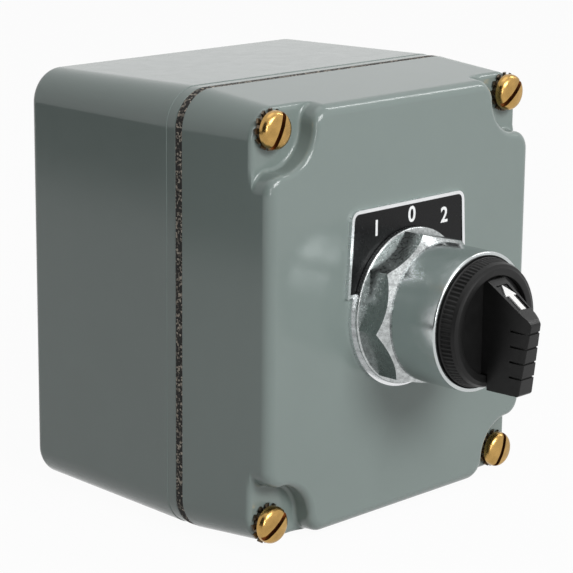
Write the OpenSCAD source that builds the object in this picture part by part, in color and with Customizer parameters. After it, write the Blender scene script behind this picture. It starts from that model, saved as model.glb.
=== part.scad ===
// Three-position selector switch in a die-cast control box.
// Each piece is drawn as the front shows it: X to the right, Y up and Z out of the back face
// towards the viewer. front_view() then stands the switch up, with its face looking along -Y.

/* [Box] */
// Width of box and cover where they meet
box_w = 100; // [84:1:130]
// Height of box and cover where they meet
box_h = 110; // [92:1:140]
// Depth of the rear box, from its back face to the joint
box_depth = 55.5; // [50:0.5:80]
// Corner radius of box and cover where they meet
corner_r = 9.5; // [8:0.5:11]
// Thickness of the side walls of box and cover
wall = 3.2; // [2.4:0.1:4]
// Thickness of the back wall
back_t = 3.5; // [3:0.1:6]
// Draft of the box walls, in degrees
box_draft = 1.06; // [0:0.1:2]
// Rounding of the box's front lip
lip_r = 1.1; // [0.5:0.1:1.5]
// Rounding of the box's back edges
back_edge_r = 2.4; // [1:0.1:3]
// Thickness of the gasket between box and cover
gasket_t = 1.85; // [1:0.05:3]
// How far the gasket stays inside the outline of the box
gasket_inset = 0.45; // [0.2:0.05:1]

/* [Cover] */
// Height of the screw pads above the gasket
pad_h = 21.6; // [18:0.1:30]
// Height of the face above the screw pads
face_rise = 5.75; // [4.5:0.05:8]
// Thickness of the face
face_t = 3.2; // [2.4:0.1:4]
// Draft of the cover walls, in degrees
cover_draft = 5.26; // [3:0.1:6]
// Rounding where the side walls meet the face
face_edge_r = 2.6; // [1.5:0.1:3]
// Radius of each corner recess at its foot
pocket_r = 10; // [8:0.1:11]
// Rounding of the rim of a corner recess
pocket_rim_r = 1.7; // [0.8:0.1:2.2]
// Fillet at the foot of a corner recess
pocket_foot_r = 1; // [0.5:0.1:1.5]
// Radius of the flare where a corner recess runs out to the side
flare_r = 4.8; // [3.5:0.1:6]
// Rounding of the outer edge of a screw pad
pad_edge_r = 1.3; // [0.5:0.1:2]

/* [Cover screws] */
// Distance from a cover screw to the side of the box
screw_inset_x = 7.5; // [6.8:0.1:9]
// Distance from a cover screw to the top or bottom of the box
screw_inset_y = 7; // [6.8:0.1:9]
// Radius of the screw thread
screw_r = 2.4; // [2:0.1:2.5]
// Radius of the screw head
screw_head_r = 4.75; // [4:0.05:5]
// Height of the screw head
screw_head_h = 2.9; // [2:0.1:3.5]
// Width of the slot in the screw head
screw_slot_w = 1.25; // [0.8:0.05:1.6]
// Length of screw that is held in the box
screw_grip = 13; // [8:1:20]
// Outer radius of the toothed lock washer
washer_r = 5.25; // [4.8:0.05:6]
// Thickness of the lock washer over its twisted teeth
washer_t = 1.1; // [0.6:0.1:1.6]
// Number of teeth on the lock washer
washer_teeth = 14; // [8:1:18]

/* [Mounting and conduit] */
// Radius of the four mounting holes in the back wall
mount_hole_r = 2.8; // [2:0.1:4]
// Distance between mounting holes across the box
mount_pitch_x = 60; // [50:1:66]
// Distance between mounting holes up the box
mount_pitch_y = 70; // [64:1:74]
// Radius of the threaded conduit hole in the bottom wall
conduit_r = 12.05; // [9:0.05:12.5]
// Length of thread in the conduit hub
conduit_len = 14; // [10:0.5:16]
// Wall of the conduit hub round its thread
conduit_hub_t = 3.6; // [2.5:0.1:5]

/* [Operator] */
// Radius of the hole in the cover that takes the operator
panel_hole_r = 15.25; // [15.1:0.05:15.4]
// Outer radius of the operator's threaded bushing
bush_r = 15; // [14.5:0.05:15.05]
// Radius of the flange behind the cover
flange_r = 20.5; // [19:0.1:22]
// Thickness of that flange
flange_t = 3; // [2:0.1:4]
// Thickness of the rubber washer between flange and cover
seal_t = 1.6; // [1:0.1:2.5]
// Width of the eight-sided nut across its corners
nut_corner_w = 38.8; // [37:0.1:41]
// Radius of the round skirt at the foot of the nut
skirt_r = 19.7; // [18.8:0.1:21]
// Height of that skirt
skirt_t = 1.4; // [0.8:0.1:2]
// Length of the nut's flats up to the corner chamfer
nut_len = 5.6; // [4:0.1:8]
// Outer radius of the smooth sleeve in front of the nut
sleeve_r = 17.3; // [17.1:0.1:17.6]
// Distance from the cover's face to the sleeve's rim
sleeve_reach = 24.4; // [20:0.1:30]
// Wall thickness of the sleeve
sleeve_t = 0.75; // [0.5:0.05:1]

/* [Legend plate] */
// Thickness of the legend plate
plate_t = 0.9; // [0.6:0.1:1.2]
// Height of the plate's top edge above the axis
plate_top_y = 26.2; // [24:0.1:29]
// Height of the lower corners of the plate's tab above the axis
plate_side_y = 5; // [3:0.1:10]
// Width of the tab at its top
plate_top_w = 41; // [36:0.1:44]
// Width of the tab at its lower corners
plate_side_w = 43.6; // [42:0.1:46]
// Radius of the tab's upper corners
plate_corner_r = 2.4; // [1.5:0.1:4]
// Radius of the round collar below the tab
plate_round_r = 20.5; // [20.2:0.1:21]
// Width of the bright border
plate_border = 0.85; // [0.5:0.05:1.5]

/* [Knob] */
// Gap between the knob's ring and the sleeve
knob_gap = 0.2; // [0.1:0.05:0.4]
// How far the ring's shoulder stands proud of the sleeve's rim
shoulder_rise = 4.5; // [3:0.1:6]
// Outer radius of the flat shoulder
shoulder_r = 14.8; // [14:0.1:15.2]
// Radius of the dish that holds the lever
dish_r = 12.15; // [11:0.05:12.5]
// Depth of that dish below the shoulder
dish_depth = 1.4; // [0.8:0.1:2]
// Number of ribs round the ring
rib_count = 78; // [48:2:90]
// Distance from the cover's face to the front of the lever's nose
lever_reach = 41.1; // [36:0.1:46]
// Width of the lever where it leaves the dish
lever_root_w = 6.6; // [5.6:0.1:7.4]
// Width of the lever at its front face
lever_front_w = 5; // [4:0.1:5.4]
// Height of the lever's nose above the axis
nose_y = 3.2; // [2:0.1:5]
// How far the lever's foot reaches below the axis
foot_y = 15.4; // [13:0.1:16]
// Number of grip grooves across the lever
groove_count = 4; // [2:1:5]
// Distance between the grip grooves
groove_pitch = 4.1; // [3:0.1:4.5]

/* [Shaft and cam] */
// Turn of the knob from the middle position to each side, in degrees
knob_turn = 45; // [30:1:50]
// Radius of the operating shaft
shaft_r = 4; // [3.5:0.1:4.5]
// Radial running gap between the shaft and what it turns in
run_gap = 0.05; // [0.03:0.01:0.1]
// Radius of the cam
cam_r = 12.4; // [12:0.1:12.8]
// Thickness of the cam's disc
cam_t = 4.9; // [3:0.1:6]
// Distance from the axis to each plunger
plunger_x = 8.6; // [8.2:0.1:9]
// Stroke of a plunger for one turn of the knob to the side
plunger_travel = 1.6; // [1:0.1:1.8]
// Radius of a plunger's stem
plunger_r = 2; // [1.6:0.1:2.2]
// Outer radius of the cup behind the flange that holds the cam
cup_r = 18.4; // [18:0.1:19]
// Wall of that cup
cup_t = 2.4; // [1.8:0.1:2.6]
// Depth of that cup behind the flange
cup_depth = 14.9; // [14:0.1:18]

/* [Contact block] */
// Width of the contact block
block_w = 32; // [30:0.5:40]
// Height of the block's switching chamber
block_h = 40; // [38:0.5:46]
// Depth of the contact block with its lid
block_depth = 22; // [20:0.5:24]
// Wall of the contact block
block_wall = 2; // [1.5:0.1:2.5]
// Length of the terminal ledge beyond the chamber
ledge_len = 7; // [6.5:0.1:9]
// Thickness of the plate between operator and block
adapter_t = 2; // [1.5:0.1:3]
// Width of a terminal strap and a contact bridge
strap_w = 5.6; // [4:0.1:6.5]
// Thickness of a terminal strap and a contact bridge
strap_t = 0.8; // [0.5:0.1:1.2]
// Radius of a silver contact tip
tip_r = 1.6; // [1:0.1:2]
// Number of turns of a plunger's return spring
spring_turns = 5; // [3:1:7]

/* [Hidden] */
$fn = 64;

// Cuts run past the faces that they open by this much
over = 0.5;
// Flat faces of loose pieces that lie side by side stay this far apart
slip = 0.1;
// A turning piece stays this far from the flat faces beside it
side_gap = 0.3;

// Levels along Z, from the back face to the front
joint_z = box_depth;
cover_z = joint_z + gasket_t;
pad_z = cover_z + pad_h;
face_z = pad_z + face_rise;
face_back_z = face_z - face_t;
plate_z = face_z + plate_t;
nut_flat_z = plate_z + skirt_t;
nut_chamfer_z = nut_flat_z + nut_len;
rim_z = face_z + sleeve_reach;
shoulder_z = rim_z + shoulder_rise;
dish_z = shoulder_z - dish_depth;
nose_z = face_z + lever_reach;
flange_front_z = face_back_z - seal_t;
cup_floor_z = flange_front_z - flange_t;
cup_rim_z = cup_floor_z - cup_depth;
lid_z = cup_rim_z - adapter_t;
block_back_z = lid_z - block_depth;

// Screw places, measured from the middle of the box
screw_x = box_w / 2 - screw_inset_x;
screw_y = box_h / 2 - screw_inset_y;

// Cover outline and how it is divided into short edges
corner_path_n = 10;
flare_n = 5;
foot_angles = [0, 30, 60, 90];
rim_angles = [0, 20, 38, 55, 72, 90];
pad_angles = [30, 60, 90];
pad_fade_share = 0.4;

// Depth of the plate's field below its border
plate_field_depth = 0.2;

// Operator, nut and sleeve
nut_r = nut_corner_w / 2;
nut_turn = 8.6;
nut_sides = 8;
chamfer_len = 2.6;
neck_z = nut_chamfer_z + chamfer_len;
neck_w = 0.5;
neck_depth = 0.3;
rim_round = 0.35;
sleeve_bore_r = sleeve_r - sleeve_t;
bush_front_z = neck_z + 2 * neck_w;
skirt_edge = 0.5;

// Knob
knob_r = sleeve_bore_r - knob_gap;
knob_back_z = bush_front_z + side_gap;
knob_wall = 2.1;
knob_web = 3;
rib_start_z = rim_z - neck_w;
rib_depth = 0.65;
ring_cone_z = shoulder_z - 0.25 * shoulder_rise;
ring_edge_r = 0.5 * (knob_r + shoulder_r);
hub_r = 1.6 * shaft_r;
socket_z = dish_z - 1.05 * shaft_r;
spigot_end_z = socket_z - knob_web / 2 - slip;
spigot_r = 0.76 * shaft_r;
flat_share = 0.7;

// Lever
nose_r = 1;
front_lean = 1.7;
lever_edge = 0.7;
groove_w = 0.5;
groove_depth = 0.4;
groove_back = 5.5;
groove_top_y = nose_y - 1.7;
bevel_start_y = sqrt(pow(dish_r, 2) - pow(lever_root_w / 2, 2)) - 2 * slip;
bevel_step = 1;
bevel_start_z = dish_z + bevel_step;
bevel_run_y = bevel_start_y - nose_y - nose_r / 2;
bevel_run_z = nose_z - nose_r - bevel_start_z;
bevel_angle = atan2(bevel_run_z, bevel_run_y);
foot_gap = side_gap;
arrow_bed = 0.3;
arrow_t = 0.5;
arrow_head_w = 3.9;
arrow_head_len = 3.5;
arrow_tail_w = 1.6;
arrow_len = 8.2;
arrow_start = 2.3;

// Knob screw
knob_screw_r = 0.4 * shaft_r;
knob_screw_head_r = 0.9 * shaft_r;
knob_screw_head_h = 2.1;
knob_screw_len = 9;

// Bearing, seal, washer and clip
bearing_t = 1.7;
bearing_len = 12;
shaft_seal_t = 2;
seal_w = 2.6;
thrust_t = 0.8;
clip_t = 0.8;
clip_w = 2.1;
clip_groove = 0.8;
clip_mouth_share = 0.62;
shaft_tail = 1.4;

// Cam, ramps and detent
cam_front_z = cup_floor_z - thrust_t - 2 * slip;
cam_back_z = cam_front_z - cam_t;
clip_z = cam_back_z - slip;
shaft_back_z = clip_z - clip_t - shaft_tail;
ramp_w = 2 * plunger_r;
ramp_mid_h = 3.3;
ramp_over = 14;
ramp_n = 20;
ramp_slope = plunger_travel / knob_turn;
notch_r = 1.9;
notch_out = 0.4;
bump_gap = 0.2;
leaf_t = 0.5;
leaf_gap = 0.6;
leaf_w = cam_t - 2 * side_gap;

// Plungers and contact block
tip_gap = 0.15;
plunger_tip_z = cam_back_z - ramp_mid_h - tip_gap;
lid_t = block_wall;
chamber_front_z = lid_z - lid_t;
chamber_back_z = block_back_z + block_wall;
collar_r = 1.6 * plunger_r;
collar_t = 2;
pin_r = 0.75 * plunger_r;
guide_gap = 0.25;
ledge_depth = 7;
strap_z = block_back_z + ledge_depth;
tip_t = 0.8;
contact_gap = plunger_travel + slip;
bridge_z = strap_z + strap_t + 2 * tip_t + contact_gap;
bridge_len = 19;
tip_y = bridge_len / 2 - tip_r;
ear_y = cup_r - 0.2 * cup_t;
ear_r = 3.4;
block_screw_r = 1.6;
block_screw_head_r = 2.9;
block_screw_head_h = 2;
terminal_y = block_h / 2 + ledge_len / 2;
terminal_screw_r = 1.5;
terminal_head_r = 2.9;
terminal_head_h = 2;
clamp_t = 1;
clamp_w = 6.2;
barrier_t = 1.8;
barrier_rise = 5;
wire_r = 0.35;
wire_sides = 6;
wire_steps = 14;
coil_r = pin_r + 2 * wire_r + guide_gap;

// Ground screw and the boss that holds it
ground_inset = 18;
ground_x = -box_w / 2 + ground_inset;
ground_y = -12;
ground_boss_r = 5;
ground_boss_h = 6;
ground_r = 2;
ground_head_r = 4.4;
ground_head_h = 3;
ground_washer_t = 1;

// Screw bosses of the box
boss_r = 5.1;
screw_hole_extra = 3;
screw_clear = 0.3;
cover_post_t = 2.6;

// Each tooth of a lock washer: share of its pitch, then share of its height
tooth_shares = [[-0.3, 0], [-0.18, 1], [0.18, 1], [0.3, 0]];

// Angles of the four screw slots, in the order of the corners below
corner_signs = [[-1, 1], [1, 1], [-1, -1], [1, -1]];
slot_angles = [66, 42, 36, 68];

// Colours
enamel = [0.47, 0.52, 0.5];
brass = [0.78, 0.62, 0.3];
zinc = [0.72, 0.74, 0.75];
steel = [0.6, 0.61, 0.62];
black = [0.09, 0.09, 0.09];
cork = [0.2, 0.16, 0.13];
rubber = [0.13, 0.13, 0.14];
copper = [0.8, 0.55, 0.35];

// Stands the front-view drawing up: its Y becomes +Z and its Z becomes -Y
module front_view() {
    rotate([90, 0, 0])
        children();
}

// One copy of the children at each corner screw
module at_corners() {
    for (i = [0 : len(corner_signs) - 1])
        translate([corner_signs[i][0] * screw_x, corner_signs[i][1] * screw_y, 0])
            children();
}

// Points along an arc, from angle a to angle b
function arc(x, y, r, a, b, n) =
    [for (i = [0 : n]) [x + r * cos(a + (b - a) * i / n), y + r * sin(a + (b - a) * i / n)]];

// Straight run of points, without its last one
function run(p, q, n) = [for (i = [0 : n - 1]) p + (q - p) * i / n];

function reversed(list) = [for (i = [len(list) - 1 : -1 : 0]) list[i]];

// A box with rounded upright edges, draft on its walls and rounded front and back edges
module drafted_box(w, h, r, depth, draft, edge_back, edge_front) {
    shrink = depth * tan(draft);
    profile = concat(
        [[0, 0]],
        arc(r - edge_back, edge_back, edge_back, -90, 0, 3),
        arc(r - shrink - edge_front, depth - edge_front, edge_front, 0, 90, 3),
        [[0, depth]]);
    hull()
        for (sx = [-1, 1], sy = [-1, 1])
            translate([sx * (w / 2 - r), sy * (h / 2 - r), 0])
                rotate_extrude($fn = 40)
                    polygon(profile);
}

// Rear box: a deep drafted shell with four screw posts, mounting holes and a conduit hub
module rear_box() {
    hub_y = -box_h / 2;
    hub_z = box_depth / 2;
    hub_r_out = conduit_r + conduit_hub_t;
    color(enamel)
        front_view()
            difference() {
                union() {
                    difference() {
                        translate([0, 0, joint_z])
                            mirror([0, 0, 1])
                                drafted_box(box_w, box_h, corner_r, box_depth, box_draft, lip_r, back_edge_r);
                        translate([0, 0, joint_z + over])
                            mirror([0, 0, 1])
                                drafted_box(box_w - 2 * wall, box_h - 2 * wall, corner_r - wall,
                                            box_depth - back_t + over, box_draft, lip_r, back_edge_r);
                    }
                    at_corners()
                        translate([0, 0, back_t / 2])
                            cylinder(r = boss_r, h = box_depth - back_t / 2 - lip_r / 2);
                    intersection() {
                        translate([0, hub_y, hub_z])
                            rotate([-90, 0, 0])
                                cylinder(r = hub_r_out, h = conduit_len + wall / 2);
                        translate([-box_w / 2, -box_h / 2 + wall / 2, 0])
                            cube([box_w, box_h, box_depth]);
                    }
                    translate([ground_x, ground_y, back_t / 2])
                        cylinder(r = ground_boss_r, h = ground_boss_h + back_t / 2);
                }
                at_corners()
                    translate([0, 0, joint_z - screw_grip - screw_hole_extra])
                        cylinder(r = screw_r, h = screw_grip + screw_hole_extra + over);
                for (sx = [-1, 1], sy = [-1, 1])
                    translate([sx * mount_pitch_x / 2, sy * mount_pitch_y / 2, -over])
                        cylinder(r = mount_hole_r, h = back_t + 2 * over);
                translate([0, hub_y - over, hub_z])
                    rotate([-90, 0, 0])
                        cylinder(r = conduit_r, h = conduit_len + wall + over);
                translate([ground_x, ground_y, back_t])
                    cylinder(r = ground_r, h = ground_boss_h + over);
            }
}

// Outline of a rounded rectangle, in exact arcs
module rounded_plate(w, h, r, t) {
    linear_extrude(height = t)
        union() {
            square([w - 2 * r, h], center = true);
            square([w, h - 2 * r], center = true);
            for (sx = [-1, 1], sy = [-1, 1])
                translate([sx * (w / 2 - r), sy * (h / 2 - r)])
                    circle(r = r);
        }
}

// Cork gasket: follows the rim of the box and passes round the screws
module joint_gasket() {
    w = box_w - 2 * gasket_inset;
    h = box_h - 2 * gasket_inset;
    r = corner_r - gasket_inset;
    band = wall + gasket_inset;
    color(cork)
        front_view()
            translate([0, 0, joint_z])
                difference() {
                    rounded_plate(w, h, r, gasket_t);
                    difference() {
                        translate([0, 0, -over])
                            rounded_plate(w - 2 * band, h - 2 * band, r - band / 2, gasket_t + 2 * over);
                        at_corners()
                            translate([0, 0, -2 * over])
                                cylinder(r = boss_r, h = gasket_t + 4 * over);
                    }
                    at_corners()
                        translate([0, 0, -over])
                            cylinder(r = screw_r + screw_clear, h = gasket_t + 2 * over);
                }
}

// Half width of the cover at a height above the gasket, and half its height
function side_x(h) = box_w / 2 - h * tan(cover_draft);
function side_y(h) = box_h / 2 - h * tan(cover_draft);

// Corner path below the pads: up the right wall, round the corner and along the top wall
function outer_corner(h, start, inset) =
    let (w = side_x(h), t = side_y(h), r = corner_r - h * tan(cover_draft),
         grow = [for (i = [0 : flare_n]) min(1, pow(i / (pad_fade_share * flare_n), 2))],
         up = [for (i = [0 : flare_n - 1])
                  [w - inset * grow[i], start[1] + (t - r - start[1]) * i / flare_n]],
         along = [for (i = [flare_n - 1 : -1 : 0])
                     [start[0] + (w - r - start[0]) * i / flare_n, t - inset * grow[i]]])
    concat(up, arc(w - r, t - r, r - inset, 0, 90, corner_path_n), along);

// Corner path above the pads: flare, concave recess round the screw, flare
function recess_corner(h, edge, rim, foot) =
    let (w = side_x(h) - edge, t = side_y(h) - edge,
         r = pocket_r + rim - foot, f = flare_r - rim,
         fy = screw_y - sqrt(pow(r + f, 2) - pow(screw_x - w + f, 2)),
         fx = screw_x - sqrt(pow(r + f, 2) - pow(screw_y - t + f, 2)),
         a = atan2(screw_y - fy, screw_x - w + f),
         b = atan2(screw_x - fx, screw_y - t + f))
    concat(arc(w - f, fy, f, 0, a, flare_n),
           [for (i = [1 : corner_path_n - 1])
               let (g = 180 + a + (90 - b - a) * i / corner_path_n)
               [screw_x + r * cos(g), screw_y + r * sin(g)]],
           arc(fx, t - f, f, 90 - b, 90, flare_n));

// A corner path carried round the four corners of the cover
function all_round(path) =
    concat(path,
           [for (p = reversed(path)) [-p[0], p[1]]],
           [for (p = path) [-p[0], -p[1]]],
           [for (p = reversed(path)) [p[0], -p[1]]]);

// Inset of a rounded edge of radius r at depth d below its top
function edge_inset(r, d) = d >= r ? 0 : r - sqrt(r * r - pow(r - d, 2));

// Cover casting as one skin: drafted walls, rounded pads, then the raised face with its recesses
module cover_skin() {
    n = corner_path_n;
    m = 2 * flare_n + n + 1;
    path_n = 4 * m;
    start_path = recess_corner(pad_h, 0, 0, pocket_foot_r);
    start = [start_path[m - 1][0], start_path[0][1]];
    low_levels = concat([[0, 0], [pad_h - pad_edge_r, 0]],
        [for (a = pad_angles) [pad_h - pad_edge_r * (1 - sin(a)), pad_edge_r * (1 - cos(a))]]);
    foot_levels = [for (a = foot_angles) pocket_foot_r * (1 - cos(a))];
    rim_levels = [for (a = rim_angles) face_rise - face_edge_r * (1 - sin(a))];
    high_levels = concat(
        [for (i = [0 : len(foot_angles) - 1]) [foot_levels[i], pocket_foot_r * (1 - sin(foot_angles[i]))]],
        [for (h = rim_levels) [h, 0]]);
    rings = concat(
        [for (l = low_levels) [for (p = all_round(outer_corner(l[0], start, l[1]))) [p[0], p[1], l[0]]]],
        [for (l = high_levels)
            let (edge = edge_inset(face_edge_r, face_rise - l[0]),
                 rim = edge_inset(pocket_rim_r, face_rise - l[0]))
            [for (p = all_round(recess_corner(pad_h + l[0], edge, rim, l[1]))) [p[0], p[1], pad_h + l[0]]]]);
    seat = len(low_levels);
    // The two rings at pad level share the points at the ends of each corner path
    function at_end(i) = i % m == 0 || i % m == m - 1;
    function id(k, i) = let (j = i % path_n) (k == seat && at_end(j) ? k - 1 : k) * path_n + j;
    function patch(a, b, c, d) =
        a == b && c == d ? [] : a == b ? [[a, c, d]] : c == d ? [[a, b, c]] : [[a, b, c], [a, c, d]];
    faces = [for (k = [0 : len(rings) - 2], i = [0 : path_n - 1])
                for (f = patch(id(k, i), id(k + 1, i), id(k + 1, i + 1), id(k, i + 1))) f];
    // Back and face are fans of triangles round their middles
    back_mid = len(rings) * path_n;
    last = (len(rings) - 1) * path_n;
    back = [for (i = [0 : path_n - 1]) [i, (i + 1) % path_n, back_mid]];
    front = [for (i = [0 : path_n - 1]) [last + (i + 1) % path_n, last + i, back_mid + 1]];
    polyhedron(points = concat([for (ring = rings, p = ring) p], [[0, 0, 0], [0, 0, pad_h + face_rise]]),
               faces = concat(faces, back, front));
}

// Cover: the cast skin, hollow behind, with a post round each screw and the operator's hole
module cover() {
    post_r = pocket_r + cover_post_t;
    inner_r = corner_r - wall;
    color(enamel)
        front_view()
            difference() {
                translate([0, 0, cover_z])
                    cover_skin();
                difference() {
                    translate([0, 0, cover_z - over])
                        drafted_box(box_w - 2 * wall, box_h - 2 * wall, inner_r,
                                    face_back_z - cover_z + over, cover_draft, 0, face_t / 2);
                    at_corners()
                        translate([0, 0, cover_z - 2 * over])
                            cylinder(r = boss_r, h = face_z - cover_z);
                    at_corners()
                        translate([0, 0, pad_z - face_t])
                            cylinder(r = post_r, h = face_z - pad_z + face_t);
                }
                at_corners()
                    translate([0, 0, cover_z - over])
                        cylinder(r = screw_r + screw_clear, h = pad_h + 2 * over);
                translate([0, 0, face_back_z - over])
                    cylinder(r = panel_hole_r, h = face_t + 2 * over);
            }
}

// Slotted cheese-head screw that lies with its head's underside at Z = 0
module slotted_screw(r, length, head_r, head_h, slot_w, edge) {
    difference() {
        rotate_extrude()
            polygon(concat([[0, -length], [r - edge / 2, -length], [r, -length + edge / 2], [r, 0], [head_r, 0]],
                           arc(head_r - edge, head_h - edge, edge, 0, 90, 4),
                           [[0, head_h + edge / 3]]));
        translate([-head_r - over, -slot_w / 2, head_h / 2])
            cube([2 * (head_r + over), slot_w, head_h]);
    }
}

// Four brass cover screws, each left at its own angle
module cover_screws() {
    color(brass)
        front_view()
            for (i = [0 : len(corner_signs) - 1])
                translate([corner_signs[i][0] * screw_x, corner_signs[i][1] * screw_y, pad_z + washer_t])
                    rotate([0, 0, slot_angles[i]])
                        slotted_screw(screw_r, screw_grip + gasket_t + pad_h + washer_t, screw_head_r,
                                      screw_head_h, screw_slot_w, screw_head_h / 3);
}

// Star outline with flat-topped teeth
function teeth_outline(count, outer, inner) =
    [for (i = [0 : count - 1], c = tooth_shares)
        let (a = 360 * (i + c[0]) / count, r = inner + (outer - inner) * c[1])
        [r * cos(a), r * sin(a)]];

// Four toothed lock washers under the cover screws
module lock_washers() {
    color(steel)
        front_view()
            at_corners()
                translate([0, 0, pad_z])
                    linear_extrude(height = washer_t)
                        difference() {
                            polygon(teeth_outline(washer_teeth, washer_r, screw_head_r - screw_slot_w / 2));
                            circle(r = screw_r + screw_clear);
                        }
}

// Ground screw in its boss on the back wall, with a washer under its hexagon head
module ground_screw() {
    color([0.2, 0.5, 0.28])
        front_view()
            translate([ground_x, ground_y, back_t + ground_boss_h])
                difference() {
                    union() {
                        translate([0, 0, -ground_boss_h + slip])
                            cylinder(r = ground_r, h = ground_boss_h);
                        cylinder(r = ground_head_r, h = ground_washer_t);
                        translate([0, 0, ground_washer_t / 2])
                            cylinder(r = ground_head_r - ground_washer_t / 2, h = ground_head_h, $fn = 6);
                    }
                    translate([-ground_head_r, -screw_slot_w / 2, ground_head_h - ground_washer_t])
                        cube([2 * ground_head_r, screw_slot_w, ground_head_h]);
                }
}

// Legend plate outline: a tab that widens downwards, on a round collar
function plate_tab(inset) =
    let (top = plate_top_y - inset, base = plate_side_y + inset,
         flare = (plate_side_w - plate_top_w) / 2 / (plate_top_y - plate_side_y),
         lean = atan(flare), r = plate_corner_r - inset,
         x_top = plate_top_w / 2 - inset / cos(lean),
         x_base = x_top + (top - base) * flare,
         right = concat([[x_base, base]],
                        arc(x_top - r * tan(45 - lean / 2), top - r, r, lean, 90, 4)))
    concat(right, [for (p = reversed(right)) [-p[0], p[1]]]);

module plate_outline(inset) {
    union() {
        polygon(plate_tab(inset));
        circle(r = plate_round_r - inset);
    }
}

// Legend plate: thin aluminium with a raised border round a sunk field
module legend_plate() {
    color(zinc)
        front_view()
            translate([0, 0, face_z])
                difference() {
                    linear_extrude(height = plate_t)
                        plate_outline(0);
                    translate([0, 0, plate_t - plate_field_depth])
                        linear_extrude(height = plate_t)
                            difference() {
                                plate_outline(plate_border);
                                circle(r = skirt_r - skirt_edge);
                            }
                    translate([0, 0, -over])
                        cylinder(r = panel_hole_r, h = plate_t + 2 * over);
                }
}

// Eight-sided ring nut with a round skirt, a turned corner chamfer and a smooth sleeve
module ring_nut() {
    bore_step_z = bush_front_z + slip;
    color(zinc)
        front_view()
            difference() {
                union() {
                    rotate_extrude()
                        polygon(concat([[0, plate_z], [skirt_r, plate_z]],
                                       arc(skirt_r - skirt_edge, nut_flat_z - skirt_edge, skirt_edge, 0, 90, 3),
                                       [[sleeve_r - neck_depth, nut_flat_z],
                                        [sleeve_r - neck_depth, neck_z + neck_w],
                                        [sleeve_r, neck_z + neck_w + neck_depth]],
                                       arc(sleeve_r - rim_round, rim_z - rim_round, rim_round, 0, 90, 3),
                                       [[0, rim_z]]));
                    intersection() {
                        translate([0, 0, nut_flat_z - skirt_t / 2])
                            rotate([0, 0, nut_turn])
                                cylinder(r = nut_r, h = neck_z - nut_flat_z + skirt_t / 2, $fn = nut_sides);
                        rotate_extrude()
                            polygon([[0, plate_z], [nut_r, plate_z], [nut_r, nut_chamfer_z],
                                     [sleeve_r, neck_z], [0, neck_z]]);
                    }
                }
                translate([0, 0, plate_z - over])
                    cylinder(r = bush_r, h = rim_z);
                translate([0, 0, bore_step_z])
                    cylinder(r = sleeve_bore_r, h = rim_z);
            }
}

// Flat ring between two radii
module ring(inner, outer, z, t) {
    translate([0, 0, z])
        difference() {
            cylinder(r = outer, h = t);
            translate([0, 0, -over])
                cylinder(r = inner, h = t + 2 * over);
        }
}

// Rubber washer between the operator's flange and the cover
module panel_seal() {
    color(rubber)
        front_view()
            ring(panel_hole_r, flange_r - skirt_edge, flange_front_z, seal_t);
}

// Operator body: threaded bushing, flange and the cup that holds the cam and its detent
module operator_body() {
    bore_r = shaft_r + bearing_t;
    seal_r = bore_r + shaft_seal_t / 2;
    bush_step_z = bush_front_z - seal_w;
    color(zinc)
        front_view()
            difference() {
                union() {
                    translate([0, 0, flange_front_z - flange_t / 2])
                        cylinder(r = bush_r, h = bush_front_z - flange_front_z + flange_t / 2);
                    translate([0, 0, cup_floor_z])
                        cylinder(r = flange_r, h = flange_t);
                    translate([0, 0, cup_rim_z])
                        cylinder(r = cup_r, h = cup_depth + flange_t / 2);
                    for (s = [-1, 1])
                        translate([0, s * ear_y, cup_rim_z])
                            cylinder(r = ear_r, h = cup_depth + flange_t / 2);
                }
                translate([0, 0, cup_rim_z - over])
                    cylinder(r = cup_r - cup_t, h = cup_depth + over);
                translate([0, 0, cup_floor_z - over])
                    cylinder(r = bore_r, h = bush_front_z - cup_floor_z + 2 * over);
                translate([0, 0, bush_step_z])
                    cylinder(r = seal_r, h = seal_w + over);
                for (s = [-1, 1])
                    translate([0, s * ear_y, cup_rim_z - over])
                        cylinder(r = block_screw_r, h = cup_depth);
            }
}

// Plain bearing pressed into the bushing
module shaft_bearing() {
    color(brass)
        front_view()
            ring(shaft_r + run_gap, shaft_r + bearing_t, bush_front_z - seal_w - bearing_len, bearing_len);
}

// Rubber ring that seals the shaft at the front of the bushing
module shaft_seal() {
    color(rubber)
        front_view()
            ring(shaft_r + run_gap, shaft_r + bearing_t + shaft_seal_t / 2 - slip / 2,
                 bush_front_z - seal_w, seal_w - slip);
}

// Operating shaft: round in its bearing, with a flat at each end for knob and cam
module operating_shaft() {
    color(steel)
        front_view()
            difference() {
                union() {
                    translate([0, 0, cam_front_z])
                        cylinder(r = shaft_r, h = bush_front_z - cam_front_z);
                    translate([0, 0, shaft_back_z])
                        d_bar(shaft_r, cam_front_z - shaft_back_z);
                    translate([0, 0, bush_front_z])
                        d_bar(spigot_r, spigot_end_z - bush_front_z);
                }
                difference() {
                    translate([0, 0, clip_z - clip_t - slip])
                        cylinder(r = 2 * shaft_r, h = clip_t + slip);
                    translate([0, 0, clip_z - clip_t - 2 * slip])
                        cylinder(r = shaft_r - clip_groove, h = clip_t + 3 * slip);
                }
                translate([0, 0, socket_z - slip - knob_screw_len])
                    cylinder(r = knob_screw_r, h = knob_screw_len);
            }
}

// Round bar with one flat side
module d_bar(r, length) {
    intersection() {
        cylinder(r = r, h = length);
        translate([-2 * r, -2 * r, -over])
            cube([4 * r, 2 * r + flat_share * r, length + 2 * over]);
    }
}

// Washer between the cam and the floor of the cup
module thrust_washer() {
    color(steel)
        front_view()
            ring(shaft_r + run_gap, 1.9 * shaft_r, cam_front_z + slip, thrust_t);
}

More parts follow.
